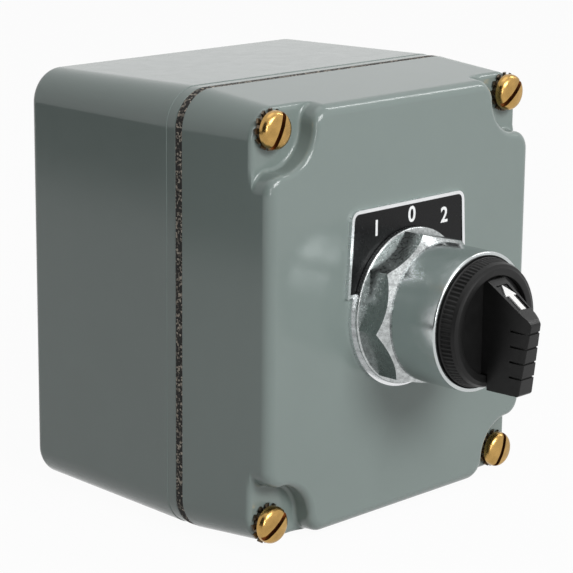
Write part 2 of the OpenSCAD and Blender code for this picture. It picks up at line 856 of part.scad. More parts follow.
// Spring clip in the groove behind the cam
module retaining_ring() {
    mouth = 2 * shaft_r * clip_mouth_share;
    color(steel)
        front_view()
            difference() {
                ring(shaft_r - clip_groove + run_gap, shaft_r + clip_w, clip_z - clip_t, clip_t - slip);
                translate([-mouth / 2, 0, clip_z - 2 * clip_t])
                    cube([mouth, 2 * shaft_r, 3 * clip_t]);
            }
}

// One helical ramp of the cam, centred on an angle and rising with the sign of rise
module ramp(middle, rise) {
    half = knob_turn + ramp_over;
    r_in = plunger_x - ramp_w / 2;
    r_out = plunger_x + ramp_w / 2;
    stations = [for (i = [0 : ramp_n])
                   let (a = -half + 2 * half * i / ramp_n)
                   [middle + a, ramp_mid_h + rise * ramp_slope * a]];
    points = [for (s = stations)
                 for (p = [[r_in, over], [r_out, over], [r_out, -s[1]], [r_in, -s[1]]])
                     [p[0] * cos(s[0]), p[0] * sin(s[0]), p[1]]];
    sides = [for (i = [0 : ramp_n - 1], j = [0 : 3])
                let (a = 4 * i + j, b = 4 * i + (j + 1) % 4)
                for (f = [[a, b + 4, b], [a, a + 4, b + 4]]) f];
    last = 4 * ramp_n;
    polyhedron(points = points, faces = concat(sides, [[0, 1, 2, 3]], [[last + 3, last + 2, last + 1, last]]));
}

// Cam: a disc with three detent notches and two opposite helical ramps on its back
module cam() {
    color(black)
        front_view()
            difference() {
                union() {
                    translate([0, 0, cam_back_z])
                        cylinder(r = cam_r, h = cam_t);
                    translate([0, 0, cam_back_z]) {
                        ramp(180, -1);
                        ramp(0, 1);
                    }
                }
                translate([0, 0, cam_back_z - over])
                    d_bar(shaft_r + run_gap, cam_t + 2 * over);
                for (a = [-90 - knob_turn, -90, -90 + knob_turn])
                    rotate([0, 0, a])
                        translate([cam_r + notch_out, 0, cam_back_z - over])
                            cylinder(r = notch_r, h = cam_t + 2 * over);
            }
}

// Detent spring: a formed leaf whose bump sits in a notch of the cam
module detent_spring() {
    bump_r = notch_r - bump_gap;
    bump_y = -cam_r - notch_out;
    leaf_y = -cam_r - leaf_gap;
    reach = sqrt(pow(cup_r - cup_t - slip, 2) - pow(leaf_y - leaf_t, 2));
    dip = leaf_y - bump_y;
    a = asin(dip / bump_r);
    inner_r = bump_r - leaf_t;
    b = asin((dip - leaf_t) / inner_r);
    color(steel)
        front_view()
            translate([0, 0, cam_back_z + side_gap])
                linear_extrude(height = leaf_w)
                    polygon(concat([[reach, leaf_y - leaf_t], [reach, leaf_y]],
                                   arc(0, bump_y, bump_r, a, 180 - a, 10),
                                   [[-reach, leaf_y], [-reach, leaf_y - leaf_t]],
                                   arc(0, bump_y, inner_r, 180 - b, b, 8)));
}

// Plate between the operator and the contact block
module adapter_plate() {
    color(steel)
        front_view()
            difference() {
                translate([0, 0, lid_z])
                    rounded_plate(block_w, block_h + ear_r, ear_r, adapter_t);
                block_holes(lid_z - over, adapter_t + 2 * over);
                translate([0, 0, lid_z - over])
                    cylinder(r = shaft_r + 2 * clip_w, h = adapter_t + 2 * over);
            }
}

// Holes for the two plungers and the two block screws, from one level for a length
module block_holes(z, length) {
    for (s = [-1, 1]) {
        translate([s * plunger_x, 0, z])
            cylinder(r = plunger_r + guide_gap, h = length);
        translate([0, s * ear_y, z])
            cylinder(r = block_screw_r + guide_gap, h = length);
    }
}

// Moulded housing of the contact block, with terminal ledges above and below
module contact_housing() {
    half_h = block_h / 2;
    color(black)
        front_view()
            difference() {
                union() {
                    difference() {
                        translate([-block_w / 2, -half_h, block_back_z])
                            cube([block_w, block_h, chamber_front_z - block_back_z]);
                        translate([-block_w / 2 + block_wall, -half_h + block_wall, chamber_back_z])
                            cube([block_w - 2 * block_wall, block_h - 2 * block_wall, block_depth]);
                    }
                    for (s = [-1, 1]) {
                        translate([-block_w / 2, s * terminal_y - ledge_len / 2, block_back_z])
                            cube([block_w, ledge_len, strap_z - block_back_z]);
                        translate([-barrier_t / 2, s * terminal_y - ledge_len / 2, block_back_z])
                            cube([barrier_t, ledge_len, strap_z + barrier_rise - block_back_z]);
                        translate([0, s * ear_y, block_back_z])
                            cylinder(r = ear_r, h = chamber_front_z - block_back_z);
                    }
                    for (sx = [-1, 1], sy = [-1, 1])
                        translate([sx * plunger_x - strap_w / 2, sy > 0 ? tip_y - tip_r : -half_h, block_back_z])
                            cube([strap_w, half_h - tip_y + tip_r, strap_z - block_back_z]);
                }
                for (sx = [-1, 1], sy = [-1, 1]) {
                    translate([sx * plunger_x - strap_w / 2 - slip, sy * (half_h - block_wall / 2) - block_wall,
                               strap_z])
                        cube([strap_w + 2 * slip, 2 * block_wall, strap_t + slip]);
                    translate([sx * plunger_x, sy * terminal_y, block_back_z + block_wall])
                        cylinder(r = terminal_screw_r, h = strap_z);
                }
                for (s = [-1, 1]) {
                    translate([s * plunger_x, 0, block_back_z - over])
                        cylinder(r = pin_r + guide_gap, h = block_wall + 2 * over);
                    translate([0, s * ear_y, block_back_z - over])
                        cylinder(r = block_screw_r + guide_gap, h = block_depth + over);
                }
            }
}

// Lid that closes the front of the contact block
module contact_lid() {
    color([0.2, 0.2, 0.2])
        front_view()
            difference() {
                union() {
                    translate([-block_w / 2, -block_h / 2, chamber_front_z])
                        cube([block_w, block_h, lid_t]);
                    for (s = [-1, 1])
                        translate([0, s * ear_y, chamber_front_z])
                            cylinder(r = ear_r, h = lid_t);
                }
                block_holes(chamber_front_z - over, lid_t + 2 * over);
            }
}

// Two long screws that hold block and plate to the operator
module block_screws() {
    grip = 0.6 * cup_depth;
    color(steel)
        front_view()
            for (s = [-1, 1])
                translate([0, s * ear_y, block_back_z])
                    mirror([0, 0, 1])
                        slotted_screw(block_screw_r, block_depth + adapter_t + grip, block_screw_head_r,
                                      block_screw_head_h, screw_slot_w / 2, block_screw_head_h / 3);
}

// Four terminal straps, each with a fixed contact tip inside the block
module terminal_straps() {
    outer_y = terminal_y + ledge_len / 2 - slip;
    inner_y = tip_y - tip_r;
    color(copper)
        front_view()
            for (sx = [-1, 1], sy = [-1, 1])
                translate([sx * plunger_x, 0, strap_z])
                    difference() {
                        union() {
                            translate([-strap_w / 2, sy > 0 ? inner_y : -outer_y, 0])
                                cube([strap_w, outer_y - inner_y, strap_t]);
                            translate([0, sy * tip_y, strap_t / 2])
                                cylinder(r = tip_r, h = strap_t / 2 + tip_t);
                        }
                        translate([0, sy * terminal_y, -over])
                            cylinder(r = terminal_screw_r + slip, h = strap_t + 2 * over);
                    }
}

// Square pressure plates under the terminal screws
module terminal_clamps() {
    color(steel)
        front_view()
            for (sx = [-1, 1], sy = [-1, 1])
                translate([sx * plunger_x, sy * terminal_y, strap_z + strap_t])
                    difference() {
                        translate([-clamp_w / 2, -clamp_w / 2, 0])
                            cube([clamp_w, clamp_w, clamp_t]);
                        translate([0, 0, -over])
                            cylinder(r = terminal_screw_r + slip, h = clamp_t + 2 * over);
                    }
}

// Four terminal screws
module terminal_screws() {
    seat_z = strap_z + strap_t + clamp_t;
    color(brass)
        front_view()
            for (sx = [-1, 1], sy = [-1, 1])
                translate([sx * plunger_x, sy * terminal_y, seat_z])
                    slotted_screw(terminal_screw_r, seat_z - block_back_z - 2 * block_wall, terminal_head_r,
                                  terminal_head_h, screw_slot_w / 2, terminal_head_h / 3);
}

// Plunger: round tip on the ramp, stem through the lid, collar above the bridge and a guide pin
module plunger(side) {
    collar_z = bridge_z + strap_t;
    color([0.75, 0.2, 0.15])
        front_view()
            translate([side * plunger_x, 0, 0])
                rotate_extrude()
                    polygon(concat([[0, block_back_z], [pin_r, block_back_z], [pin_r, collar_z],
                                    [collar_r, collar_z], [collar_r, collar_z + collar_t],
                                    [plunger_r, collar_z + collar_t]],
                                   arc(0, plunger_tip_z - plunger_r, plunger_r, 0, 90, 10)));
}

module plunger_left() plunger(-1);
module plunger_right() plunger(1);

// Bridge: the strip that joins two fixed contacts when its plunger is pushed in
module bridge(side) {
    color(copper)
        front_view()
            translate([side * plunger_x, 0, bridge_z])
                difference() {
                    union() {
                        translate([-strap_w / 2, -bridge_len / 2, 0])
                            cube([strap_w, bridge_len, strap_t]);
                        for (s = [-1, 1])
                            translate([0, s * tip_y, -tip_t])
                                cylinder(r = tip_r, h = tip_t + strap_t / 2);
                    }
                    translate([0, 0, -over])
                        cylinder(r = pin_r + run_gap, h = strap_t + 2 * over);
                }
}

module bridge_left() bridge(-1);
module bridge_right() bridge(1);

// Return spring: one unbroken wire round the guide pin, from the block's floor to the bridge
module return_spring(side) {
    low = chamber_back_z + wire_r + slip;
    high = bridge_z - wire_r - slip;
    steps = spring_turns * wire_steps;
    lead = (high - low) / spring_turns;
    // Rings of the wire's cross-section, each square to the helix
    points = [for (i = [0 : steps], j = [0 : wire_sides - 1])
                 let (a = 360 * i / wire_steps, b = 360 * j / wire_sides,
                      r = coil_r + wire_r * cos(b),
                      tilt = atan(lead / (2 * PI * coil_r)),
                      up = wire_r * sin(b))
                 [r * cos(a) + up * sin(tilt) * sin(a), r * sin(a) - up * sin(tilt) * cos(a),
                  low + lead * i / wire_steps + up * cos(tilt)]];
    faces = [for (i = [0 : steps - 1], j = [0 : wire_sides - 1])
                let (a = i * wire_sides + j, b = i * wire_sides + (j + 1) % wire_sides)
                for (f = [[a, b, b + wire_sides], [a, b + wire_sides, a + wire_sides]]) f];
    first_end = [for (j = [wire_sides - 1 : -1 : 0]) j];
    last_end = [for (j = [0 : wire_sides - 1]) steps * wire_sides + j];
    color(steel)
        front_view()
            translate([side * plunger_x, 0, 0])
                polyhedron(points = points, faces = concat(faces, [first_end], [last_end]));
}

module return_spring_left() return_spring(-1);
module return_spring_right() return_spring(1);

// Knob ring: a skirt that runs in the sleeve, a ribbed cone and a dish for the lever
module knob_ring() {
    web_z = socket_z - knob_web;
    color(black)
        front_view()
            difference() {
                union() {
                    translate([0, 0, knob_back_z])
                        cylinder(r = knob_r, h = rib_start_z - knob_back_z);
                    intersection() {
                        rotate_extrude()
                            polygon([[0, rib_start_z], [knob_r, rib_start_z], [knob_r, rim_z + neck_w],
                                     [ring_edge_r, ring_cone_z],
                                     [(ring_edge_r + 2 * shoulder_r) / 3, shoulder_z - (shoulder_z - ring_cone_z) / 4],
                                     [shoulder_r - skirt_edge, shoulder_z], [0, shoulder_z]]);
                        translate([0, 0, rib_start_z])
                            linear_extrude(height = shoulder_z)
                                polygon([for (i = [0 : 2 * rib_count - 1])
                                            let (a = 180 * i / rib_count,
                                                 r = i % 2 == 0 ? knob_r + rib_depth / 3 : knob_r - rib_depth)
                                            [r * cos(a), r * sin(a)]]);
                    }
                }
                translate([0, 0, socket_z])
                    cylinder(r = dish_r, h = shoulder_z);
                difference() {
                    translate([0, 0, knob_back_z - over])
                        cylinder(r = knob_r - knob_wall, h = web_z - knob_back_z + over);
                    cylinder(r = hub_r, h = shoulder_z);
                }
                translate([0, 0, knob_back_z - over])
                    d_bar(spigot_r + run_gap, spigot_end_z + slip - knob_back_z + over);
                translate([0, 0, knob_back_z])
                    cylinder(r = knob_screw_r + run_gap, h = shoulder_z);
            }
}

// Side view of the lever: Y up, Z to the front
function lever_profile() =
    let (foot_z = shoulder_z + foot_gap,
         front_low_z = nose_z - front_lean)
    concat([[bevel_start_y, dish_z - slip], [bevel_start_y, bevel_start_z]],
           [[nose_y + nose_r / 2, nose_z - nose_r]],
           arc(nose_y - nose_r, nose_z - nose_r, nose_r, 30, 90, 3),
           [[-foot_y + nose_r / 2, front_low_z], [-foot_y, front_low_z - nose_r / 2]],
           [[-foot_y, foot_z], [-bevel_start_y, foot_z], [-bevel_start_y, dish_z - slip]]);

// Puts the children on the bevel, sunk a little: X across it, Y from its far end back to the dish
module on_bevel(sink) {
    translate([0, bevel_start_y, bevel_start_z])
        rotate([-bevel_angle, 0, 0])
            translate([0, 0, -sink])
                children();
}

// Lever: a disc that fits the dish and a bar with a long bevel, grip grooves and an arrow bed
module knob_lever() {
    bar_h = nose_z - socket_z;
    color(black)
        front_view()
            difference() {
                union() {
                    translate([0, 0, socket_z + slip / 2])
                        cylinder(r = dish_r - slip, h = dish_z - socket_z - slip / 2);
                    intersection() {
                        translate([-lever_root_w / 2, 0, 0])
                            rotate([90, 0, 90])
                                linear_extrude(height = lever_root_w)
                                    polygon(lever_profile());
                        translate([0, dish_r, 0])
                            rotate([90, 0, 0])
                                linear_extrude(height = 2 * dish_r + foot_y)
                                    polygon([[-lever_root_w / 2, dish_z - over], [lever_root_w / 2, dish_z - over],
                                             [lever_front_w / 2, nose_z - lever_edge - front_lean],
                                             [lever_front_w / 2 - lever_edge, nose_z],
                                             [-lever_front_w / 2 + lever_edge, nose_z],
                                             [-lever_front_w / 2, nose_z - lever_edge - front_lean]]);
                    }
                }
                for (i = [0 : groove_count - 1])
                    translate([0, groove_top_y - i * groove_pitch, 0])
                        difference() {
                            translate([-lever_root_w, -groove_w / 2, nose_z - groove_back])
                                cube([2 * lever_root_w, groove_w, bar_h]);
                            translate([-lever_front_w / 2 + groove_depth, -groove_w, nose_z - groove_back - over])
                                cube([lever_front_w - 2 * groove_depth, 2 * groove_w,
                                      groove_back + over - groove_depth
                                      - front_lean * (i * groove_pitch + nose_y - groove_top_y)
                                      / (nose_y + foot_y)]);
                        }
                on_bevel(arrow_bed)
                    translate([-arrow_head_w / 2 - slip, -arrow_start - arrow_len - slip, 0])
                        cube([arrow_head_w + 2 * slip, arrow_len + 2 * slip, over]);
                translate([0, 0, socket_z - over])
                    cylinder(r = knob_screw_head_r + slip, h = knob_screw_head_h + slip + over);
            }
}

// White arrow set into the bed on the bevel
module lever_arrow() {
    tail_y = -arrow_start - arrow_len;
    neck_y = -arrow_start - arrow_head_len;
    color("white")
        front_view()
            on_bevel(arrow_bed)
                linear_extrude(height = arrow_t - arrow_bed / 2)
                    polygon([[0, -arrow_start], [arrow_head_w / 2, neck_y], [arrow_tail_w / 2, neck_y],
                             [arrow_tail_w / 2, tail_y], [-arrow_tail_w / 2, tail_y],
                             [-arrow_tail_w / 2, neck_y], [-arrow_head_w / 2, neck_y]]);
}

// Screw under the lever that holds the knob ring to the shaft
module knob_screw() {
    color(steel)
        front_view()
            translate([0, 0, socket_z])
                slotted_screw(knob_screw_r, knob_screw_len, knob_screw_head_r, knob_screw_head_h - slip,
                              screw_slot_w / 2, knob_screw_head_h / 4);
}

rear_box();
joint_gasket();
cover();
cover_screws();
lock_washers();
ground_screw();
legend_plate();
ring_nut();
panel_seal();
operator_body();
shaft_bearing();
shaft_seal();
detent_spring();
adapter_plate();
contact_housing();
contact_lid();
block_screws();
terminal_straps();
terminal_clamps();
terminal_screws();
knob_ring();
knob_lever();
lever_arrow();
knob_screw();
operating_shaft();
thrust_washer();
cam();
retaining_ring();
plunger_left();
plunger_right();
bridge_left();
bridge_right();
return_spring_left();
return_spring_right();
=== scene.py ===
# Three-position selector switch in a die-cast control box, with the finish of every piece.
# Places are in millimetres as the front shows them: x to the right, y up and z out of the back
# face towards the viewer. stand() turns them into the frame's metres.

import math

import bmesh
import bpy
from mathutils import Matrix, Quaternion, Vector


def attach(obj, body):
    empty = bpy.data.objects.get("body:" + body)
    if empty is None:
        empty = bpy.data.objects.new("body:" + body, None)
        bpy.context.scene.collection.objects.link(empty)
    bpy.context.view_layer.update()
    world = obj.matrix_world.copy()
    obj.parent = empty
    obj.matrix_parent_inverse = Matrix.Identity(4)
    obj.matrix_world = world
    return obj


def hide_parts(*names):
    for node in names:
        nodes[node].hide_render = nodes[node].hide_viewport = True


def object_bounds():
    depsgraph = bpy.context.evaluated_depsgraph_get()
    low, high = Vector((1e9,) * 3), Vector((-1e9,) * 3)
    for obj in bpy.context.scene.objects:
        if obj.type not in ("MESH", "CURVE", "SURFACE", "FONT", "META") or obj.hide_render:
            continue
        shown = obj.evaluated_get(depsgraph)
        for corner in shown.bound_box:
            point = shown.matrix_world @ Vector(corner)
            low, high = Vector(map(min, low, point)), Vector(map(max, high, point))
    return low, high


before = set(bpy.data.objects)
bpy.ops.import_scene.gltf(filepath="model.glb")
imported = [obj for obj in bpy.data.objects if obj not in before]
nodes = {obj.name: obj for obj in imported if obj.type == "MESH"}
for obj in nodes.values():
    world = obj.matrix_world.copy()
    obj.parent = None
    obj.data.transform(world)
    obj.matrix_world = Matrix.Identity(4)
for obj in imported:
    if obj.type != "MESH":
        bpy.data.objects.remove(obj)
cad_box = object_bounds()
MM = 0.001


# Camera: it looks at the switch from the left and a little above, with a long lens.
# Its place and aim are in the shared frame, in millimetres.
camera_place = Vector((-402.6, -438.1, 136.0)) * MM
camera_aim = Vector((-11.97, -55.36, 1.17)) * MM
camera_roll = 0.57
camera_lens = 140.13
camera_sensor = 36
camera_nearest = 0.01


def put(name, data):
    """Object in the scene with a mesh, a lamp, a camera or a text."""
    thing = bpy.data.objects.new(name, data)
    bpy.context.scene.collection.objects.link(thing)
    return thing


camera_data = bpy.data.cameras.new("camera")
camera_data.lens = camera_lens
camera_data.sensor_width = camera_sensor
camera_data.clip_start = camera_nearest
camera = put("camera", camera_data)
camera.location = camera_place
camera.rotation_mode = "QUATERNION"
looking = (camera_aim - camera_place).to_track_quat("-Z", "Y")
camera.rotation_quaternion = looking @ Quaternion((0, 0, 1), math.radians(camera_roll))
bpy.context.scene.camera = camera
bpy.context.scene.view_settings.view_transform = "Standard"


# Studio: a white floor under the box, a soft key lamp in front and above, a weak one overhead, and
# two narrow lamps that draw the rounded edges. Two dark cards that the camera doesn't see stand and
# lie on the left, as product photographers use to deepen a side.
floor_half = 6.0
floor_white = 0.55
background_share = 0.96
room_grey = 0.12
card_black = 0.02
card_roughness = 0.9
card_lift = 0.002
cover_middle = (0, -0.06, 0)
box_middle = (0, -0.05, 0)
# Each lamp's name, place, aim, width and height in metres, and power in watts.
lamps = [("key_lamp", (-0.1, -1.25, 0.8), cover_middle, 0.8, 0.5, 16),
         ("top_lamp", (0, 0.1, 1.1), box_middle, 0.8, 0.8, 2),
         ("near_edge_lamp", (-0.75, -0.95, 0.25), cover_middle, 0.06, 0.5, 1.5),
         ("far_edge_lamp", (0.85, -0.4, 0.8), cover_middle, 0.1, 0.6, 2)]
# Each card's name, half width and place in metres, and turn in degrees.
cards = [("upright_card", 0.45, (-0.75, -0.1, 0.35), 90),
         ("lying_card", 0.3, (-0.6, 0.36, cad_box[0].z + card_lift), 0)]


def socket(node, name, value):
    """Sets a shader socket that is the same all over."""
    node.inputs[name].default_value = value


def feed(tree, entry, value):
    """Puts another node's output, or a plain value, into a node's socket."""
    if isinstance(value, bpy.types.NodeSocket):
        tree.links.new(value, entry)
    else:
        entry.default_value = value


def arithmetic(tree, operation, first, second=0):
    """Result of an operation on two values, each a node's output or a number."""
    step = tree.nodes.new("ShaderNodeMath")
    step.operation = operation
    feed(tree, step.inputs[0], first)
    feed(tree, step.inputs[1], second)
    return step.outputs[0]


def background_rays(tree):
    """1 for rays that see the background straight, in gloss or through glass, and 0 for the rest."""
    path = tree.nodes.new("ShaderNodeLightPath")
    total = path.outputs["Is Camera Ray"]
    for name in ("Is Glossy Ray", "Is Transmission Ray"):
        total = arithmetic(tree, "MAXIMUM", total, path.outputs[name])
    return total


def grey(level):
    """An even grey as a shader's colour."""
    return level, level, level, 1


def mixed(tree, share, first, second, end):
    """Mixes two shaders by a share and leads the result to the end node."""
    mix = tree.nodes.new("ShaderNodeMixShader")
    for entry, value in zip(mix.inputs, (share, first.outputs[0], second.outputs[0])):
        tree.links.new(value, entry)
    tree.links.new(mix.outputs[0], tree.nodes.new(end).inputs[0])


def flat_square(name, half, height):
    """A square sheet in the XY plane."""
    mesh = bpy.data.meshes.new(name)
    corners = [(-half, -half, height), (half, -half, height), (half, half, height), (-half, half, height)]
    mesh.from_pydata(corners, [], [(0, 1, 2, 3)])
    return put(name, mesh)


floor = flat_square("floor", floor_half, cad_box[0].z)
floor_look = bpy.data.materials.new("white_floor")
floor_look.use_nodes = True
tree = floor_look.node_tree
tree.nodes.clear()
lit = tree.nodes.new("ShaderNodeBsdfDiffuse")
socket(lit, "Color", grey(floor_white))
glow = tree.nodes.new("ShaderNodeEmission")
share = arithmetic(tree, "MULTIPLY", background_rays(tree), background_share)
mixed(tree, share, lit, glow, "ShaderNodeOutputMaterial")
floor.data.materials.append(floor_look)

world = bpy.data.worlds.new("studio")
world.use_nodes = True
bpy.context.scene.world = world
tree = world.node_tree
tree.nodes.clear()
room_light = tree.nodes.new("ShaderNodeBackground")
socket(room_light, "Color", grey(room_grey))
white = tree.nodes.new("ShaderNodeBackground")
socket(white, "Color", grey(1))
mixed(tree, background_rays(tree), room_light, white, "ShaderNodeOutputWorld")

for name, spot, aim, width, height, power in lamps:
    data = bpy.data.lights.new(name, "AREA")
    data.shape = "RECTANGLE"
    data.size = width
    data.size_y = height
    data.energy = power
    lamp = put(name, data)
    lamp.location = spot
    lamp.rotation_mode = "QUATERNION"
    lamp.rotation_quaternion = (Vector(aim) - Vector(spot)).to_track_quat("-Z", "Y")

card_look = bpy.data.materials.new("dark_card")
card_look.use_nodes = True
socket(card_look.node_tree.nodes["Principled BSDF"], "Base Color", grey(card_black))
socket(card_look.node_tree.nodes["Principled BSDF"], "Roughness", card_roughness)
for name, half, spot, turn in cards:
    card = flat_square(name, half, 0)
    card.rotation_euler = (0, math.radians(turn), 0)
    card.location = spot
    card.visible_camera = False
    card.data.materials.append(card_look)


# Rear box: a deep shell of cast metal with a draft of one degree, four screw posts, mounting holes
# in its back and a conduit hub in its bottom wall. It is dipped and stoved in grey-green enamel.
box_w = 100
box_h = 110
box_depth = 55.5
corner_r = 9.5
wall = 3.2
back_t = 3.5
box_draft = math.radians(1.06)
lip_r = 0.7
lip_band_w = 2.6
lip_step = 0.14
back_edge_r = 2.4
screw_x = 42.5
screw_y = 48
post_r = 5.1
screw_hole_r = 2.4
screw_hole_depth = 16
mount_x = 30
mount_y = 35
mount_r = 2.8
conduit_r = 12.05
hub_t = 3.6
hub_len = 14
ground_x = -32
ground_y = -12
ground_post_r = 5
ground_post_h = 6
overrun = 0.5
tolerance = 0.01
weld = 0.002
sliver = 0.001
edge_steps = 8
bend_steps = 16
rod_sides = 64
face_weight = 90
noise_detail = 3.0
noise_roughness = 0.55
enamel_colour = (0.200, 0.244, 0.230)
enamel_specular = 0.42


def stand(points):
    """Front-view places in millimetres as places in the frame, in metres."""
    return [Vector((x, -z, y)) * MM for x, y, z in points]


def arc(x, y, r, start, end, steps):
    """Points along an arc, with its angles in degrees."""
    turns = [math.radians(start + (end - start) * i / steps) for i in range(steps + 1)]
    return [(x + r * math.cos(a), y + r * math.sin(a)) for a in turns]


def skin(name, rings):
    """Closed mesh through rings that have the same number of points, with a flat face on each end."""
    count = len(rings[0])
    points = [p for ring in rings for p in stand(ring)]
    faces = [tuple(range(count)), tuple(range((len(rings) - 1) * count, len(rings) * count))[::-1]]
    for k in range(len(rings) - 1):
        for i in range(count):
            j = (i + 1) % count
            faces.append((k * count + j, k * count + i, (k + 1) * count + i, (k + 1) * count + j))
    mesh = bpy.data.meshes.new(name)
    mesh.from_pydata(points, [], faces)
    work = bmesh.new()
    work.from_mesh(mesh)
    bmesh.ops.remove_doubles(work, verts=work.verts, dist=weld * MM)
    bmesh.ops.dissolve_degenerate(work, edges=work.edges, dist=sliver * MM)
    bmesh.ops.recalc_face_normals(work, faces=work.faces)
    work.to_mesh(mesh)
    work.free()
    return put(name, mesh)


def corner_ring(x, y, r, z):
    """Ring at a level through four quarter arcs, whose middles lie at x and y to each side."""
    ring = []
    for sx, sy, start in ((1, 1, 0), (-1, 1, 90), (-1, -1, 180), (1, -1, 270)):
        ring += arc(sx * x, sy * y, r, start, start + 90, bend_steps)
    return [(a, b, z) for a, b in ring]


def drafted_rings(width, height, r, depth, draft, lip, band, far_edge, near_z, direction):
    """Rings of a rounded box whose walls lean in, from level near_z on, towards +z or -z. The band
    behind its rounded lip is a small step lower than the wall."""
    shrink = depth * math.tan(draft)
    step = lip_step if band else 0
    near = arc(r - step - lip, lip, lip, -90, 0, edge_steps)
    if band:
        near += [(r - step, lip + band), (r - step / 3, lip + band + step / 4), (r, lip + band + step)]
    far = arc(r - shrink - far_edge, depth - far_edge, far_edge, 0, 90, edge_steps)
    return [corner_ring(width / 2 - r, height / 2 - r, max(bend, tolerance), near_z + direction * level)
            for bend, level in near + far]


def rod(x, y, z, r, length, along="z"):
    """Plain cylinder from a point on, along z or along y."""
    circle = arc(0, 0, r, 0, 360, rod_sides)[:-1]
    if along == "z":
        return skin("rod", [[(x + a, y + b, level) for a, b in circle] for level in (z, z + length)])
    return skin("rod", [[(x + a, level, z + b) for a, b in circle] for level in (y, y + length)])


def four_rods(x, y, z, r, length):
    """Plain cylinders along z, at x and y to each side of the middle."""
    return [rod(sx * x, sy * y, z, r, length) for sx in (-1, 1) for sy in (-1, 1)]


def shape_with(piece, tools, operation):
    """Cuts the tools out of a piece, adds them or keeps what is inside them, and removes them."""
    for tool in tools:
        change = piece.modifiers.new("shape", "BOOLEAN")
        change.operation = operation
        change.solver = "EXACT"
        change.object = tool
    graph = bpy.context.evaluated_depsgraph_get()
    made = bpy.data.meshes.new_from_object(piece.evaluated_get(graph))
    piece.modifiers.clear()
    piece.data = made
    for tool in tools:
        bpy.data.objects.remove(tool)


def smooth(piece, sharp_angle):
    """Smooth shading with crisp edges above an angle, and flat faces kept flat."""
    piece.data.shade_smooth()
    piece.data.set_sharp_from_angle(angle=math.radians(sharp_angle))
    even = piece.modifiers.new("even", "WEIGHTED_NORMAL")
    even.keep_sharp = True
    even.weight = face_weight


def object_place(tree):
    """Place on the piece in the frame, in metres."""
    return tree.nodes.new("ShaderNodeTexCoord").outputs["Object"]


def place(tree, size_mm):
    """Place on the piece for a texture whose features are about this many millimetres across."""
    mapping = tree.nodes.new("ShaderNodeMapping")
    mapping.inputs["Scale"].default_value = [1 / (size_mm * MM)] * 3
    tree.links.new(object_place(tree), mapping.inputs["Vector"])
    return mapping.outputs["Vector"]


def noise(tree, size_mm):
    """Noise whose features are about this many millimetres across."""
    texture = tree.nodes.new("ShaderNodeTexNoise")
    socket(texture, "Scale", 1.0)
    socket(texture, "Detail", noise_detail)
    socket(texture, "Roughness", noise_roughness)
    tree.links.new(place(tree, size_mm), texture.inputs["Vector"])
    return texture.outputs["Fac"]


def spread(tree, value, low, high, start=0.3, stop=0.7):
    """A value between start and stop, carried over to a range from low to high."""
    span = tree.nodes.new("ShaderNodeMapRange")
    for name, number in (("From Min", start), ("From Max", stop), ("To Min", low), ("To Max", high)):
        socket(span, name, number)
    tree.links.new(value, span.inputs["Value"])
    return span.outputs["Result"]


def two_colours(tree, value, first, second):
    """First colour where the value is 0 and second colour where it is 1."""
    mix = tree.nodes.new("ShaderNodeMix")
    mix.data_type = "RGBA"
    for name, colour in (("A", first), ("B", second)):
        feed(tree, mix.inputs[name], (*colour, 1) if isinstance(colour, tuple) else colour)
    tree.links.new(value, mix.inputs["Factor"])
    return mix.outputs["Result"]


def dents(tree, height, depth_mm, shader):
    """Bump of a depth in millimetres on the shader's surface, on top of an earlier one."""
    bump = tree.nodes.new("ShaderNodeBump")
    socket(bump, "Strength", 1.0)
    socket(bump, "Distance", depth_mm * MM)
    tree.links.new(height, bump.inputs["Height"])
    for earlier in shader.inputs["Normal"].links:
        tree.links.new(earlier.from_socket, bump.inputs["Normal"])
    tree.links.new(bump.outputs["Normal"], shader.inputs["Normal"])


def shader_of(look):
    """The shader that a material was made with."""
    return look.node_tree.nodes["Principled BSDF"]


def finish(name, colour, roughness, metallic=0.0, shade=0.06, mottle_mm=9, rough_spread=0.04,
           grain_mm=0.8, grain_depth=0.004):
    """Material whose colour and gloss vary a little, with a fine grain."""
    look = bpy.data.materials.new(name)
    look.use_nodes = True
    tree = look.node_tree
    shader = shader_of(look)
    socket(shader, "Metallic", metallic)
    dark = tuple(c * (1 - shade) for c in colour)
    light = tuple(min(1, c * (1 + shade)) for c in colour)
    patches = spread(tree, noise(tree, mottle_mm), 0, 1)
    tree.links.new(two_colours(tree, patches, dark, light), shader.inputs["Base Color"])
    gloss = spread(tree, noise(tree, mottle_mm / 3), roughness - rough_spread, roughness + rough_spread)
    tree.links.new(gloss, shader.inputs["Roughness"])
    dents(tree, noise(tree, grain_mm), grain_depth, shader)
    return look


def give(piece, *looks):
    """Puts one material or more on a piece, in place of those it has."""
    piece.data.materials.clear()
    for look in looks:
        piece.data.materials.append(look)


def enamel(name):
    """Glossy enamel: nearly even in colour, with the soft ripple that a dipped coat keeps."""
    look = finish(name, enamel_colour, roughness=0.16, shade=0.012, mottle_mm=14, rough_spread=0.02,
                  grain_mm=3.2, grain_depth=0.003)
    socket(shader_of(look), "Specular IOR Level", enamel_specular)
    return look


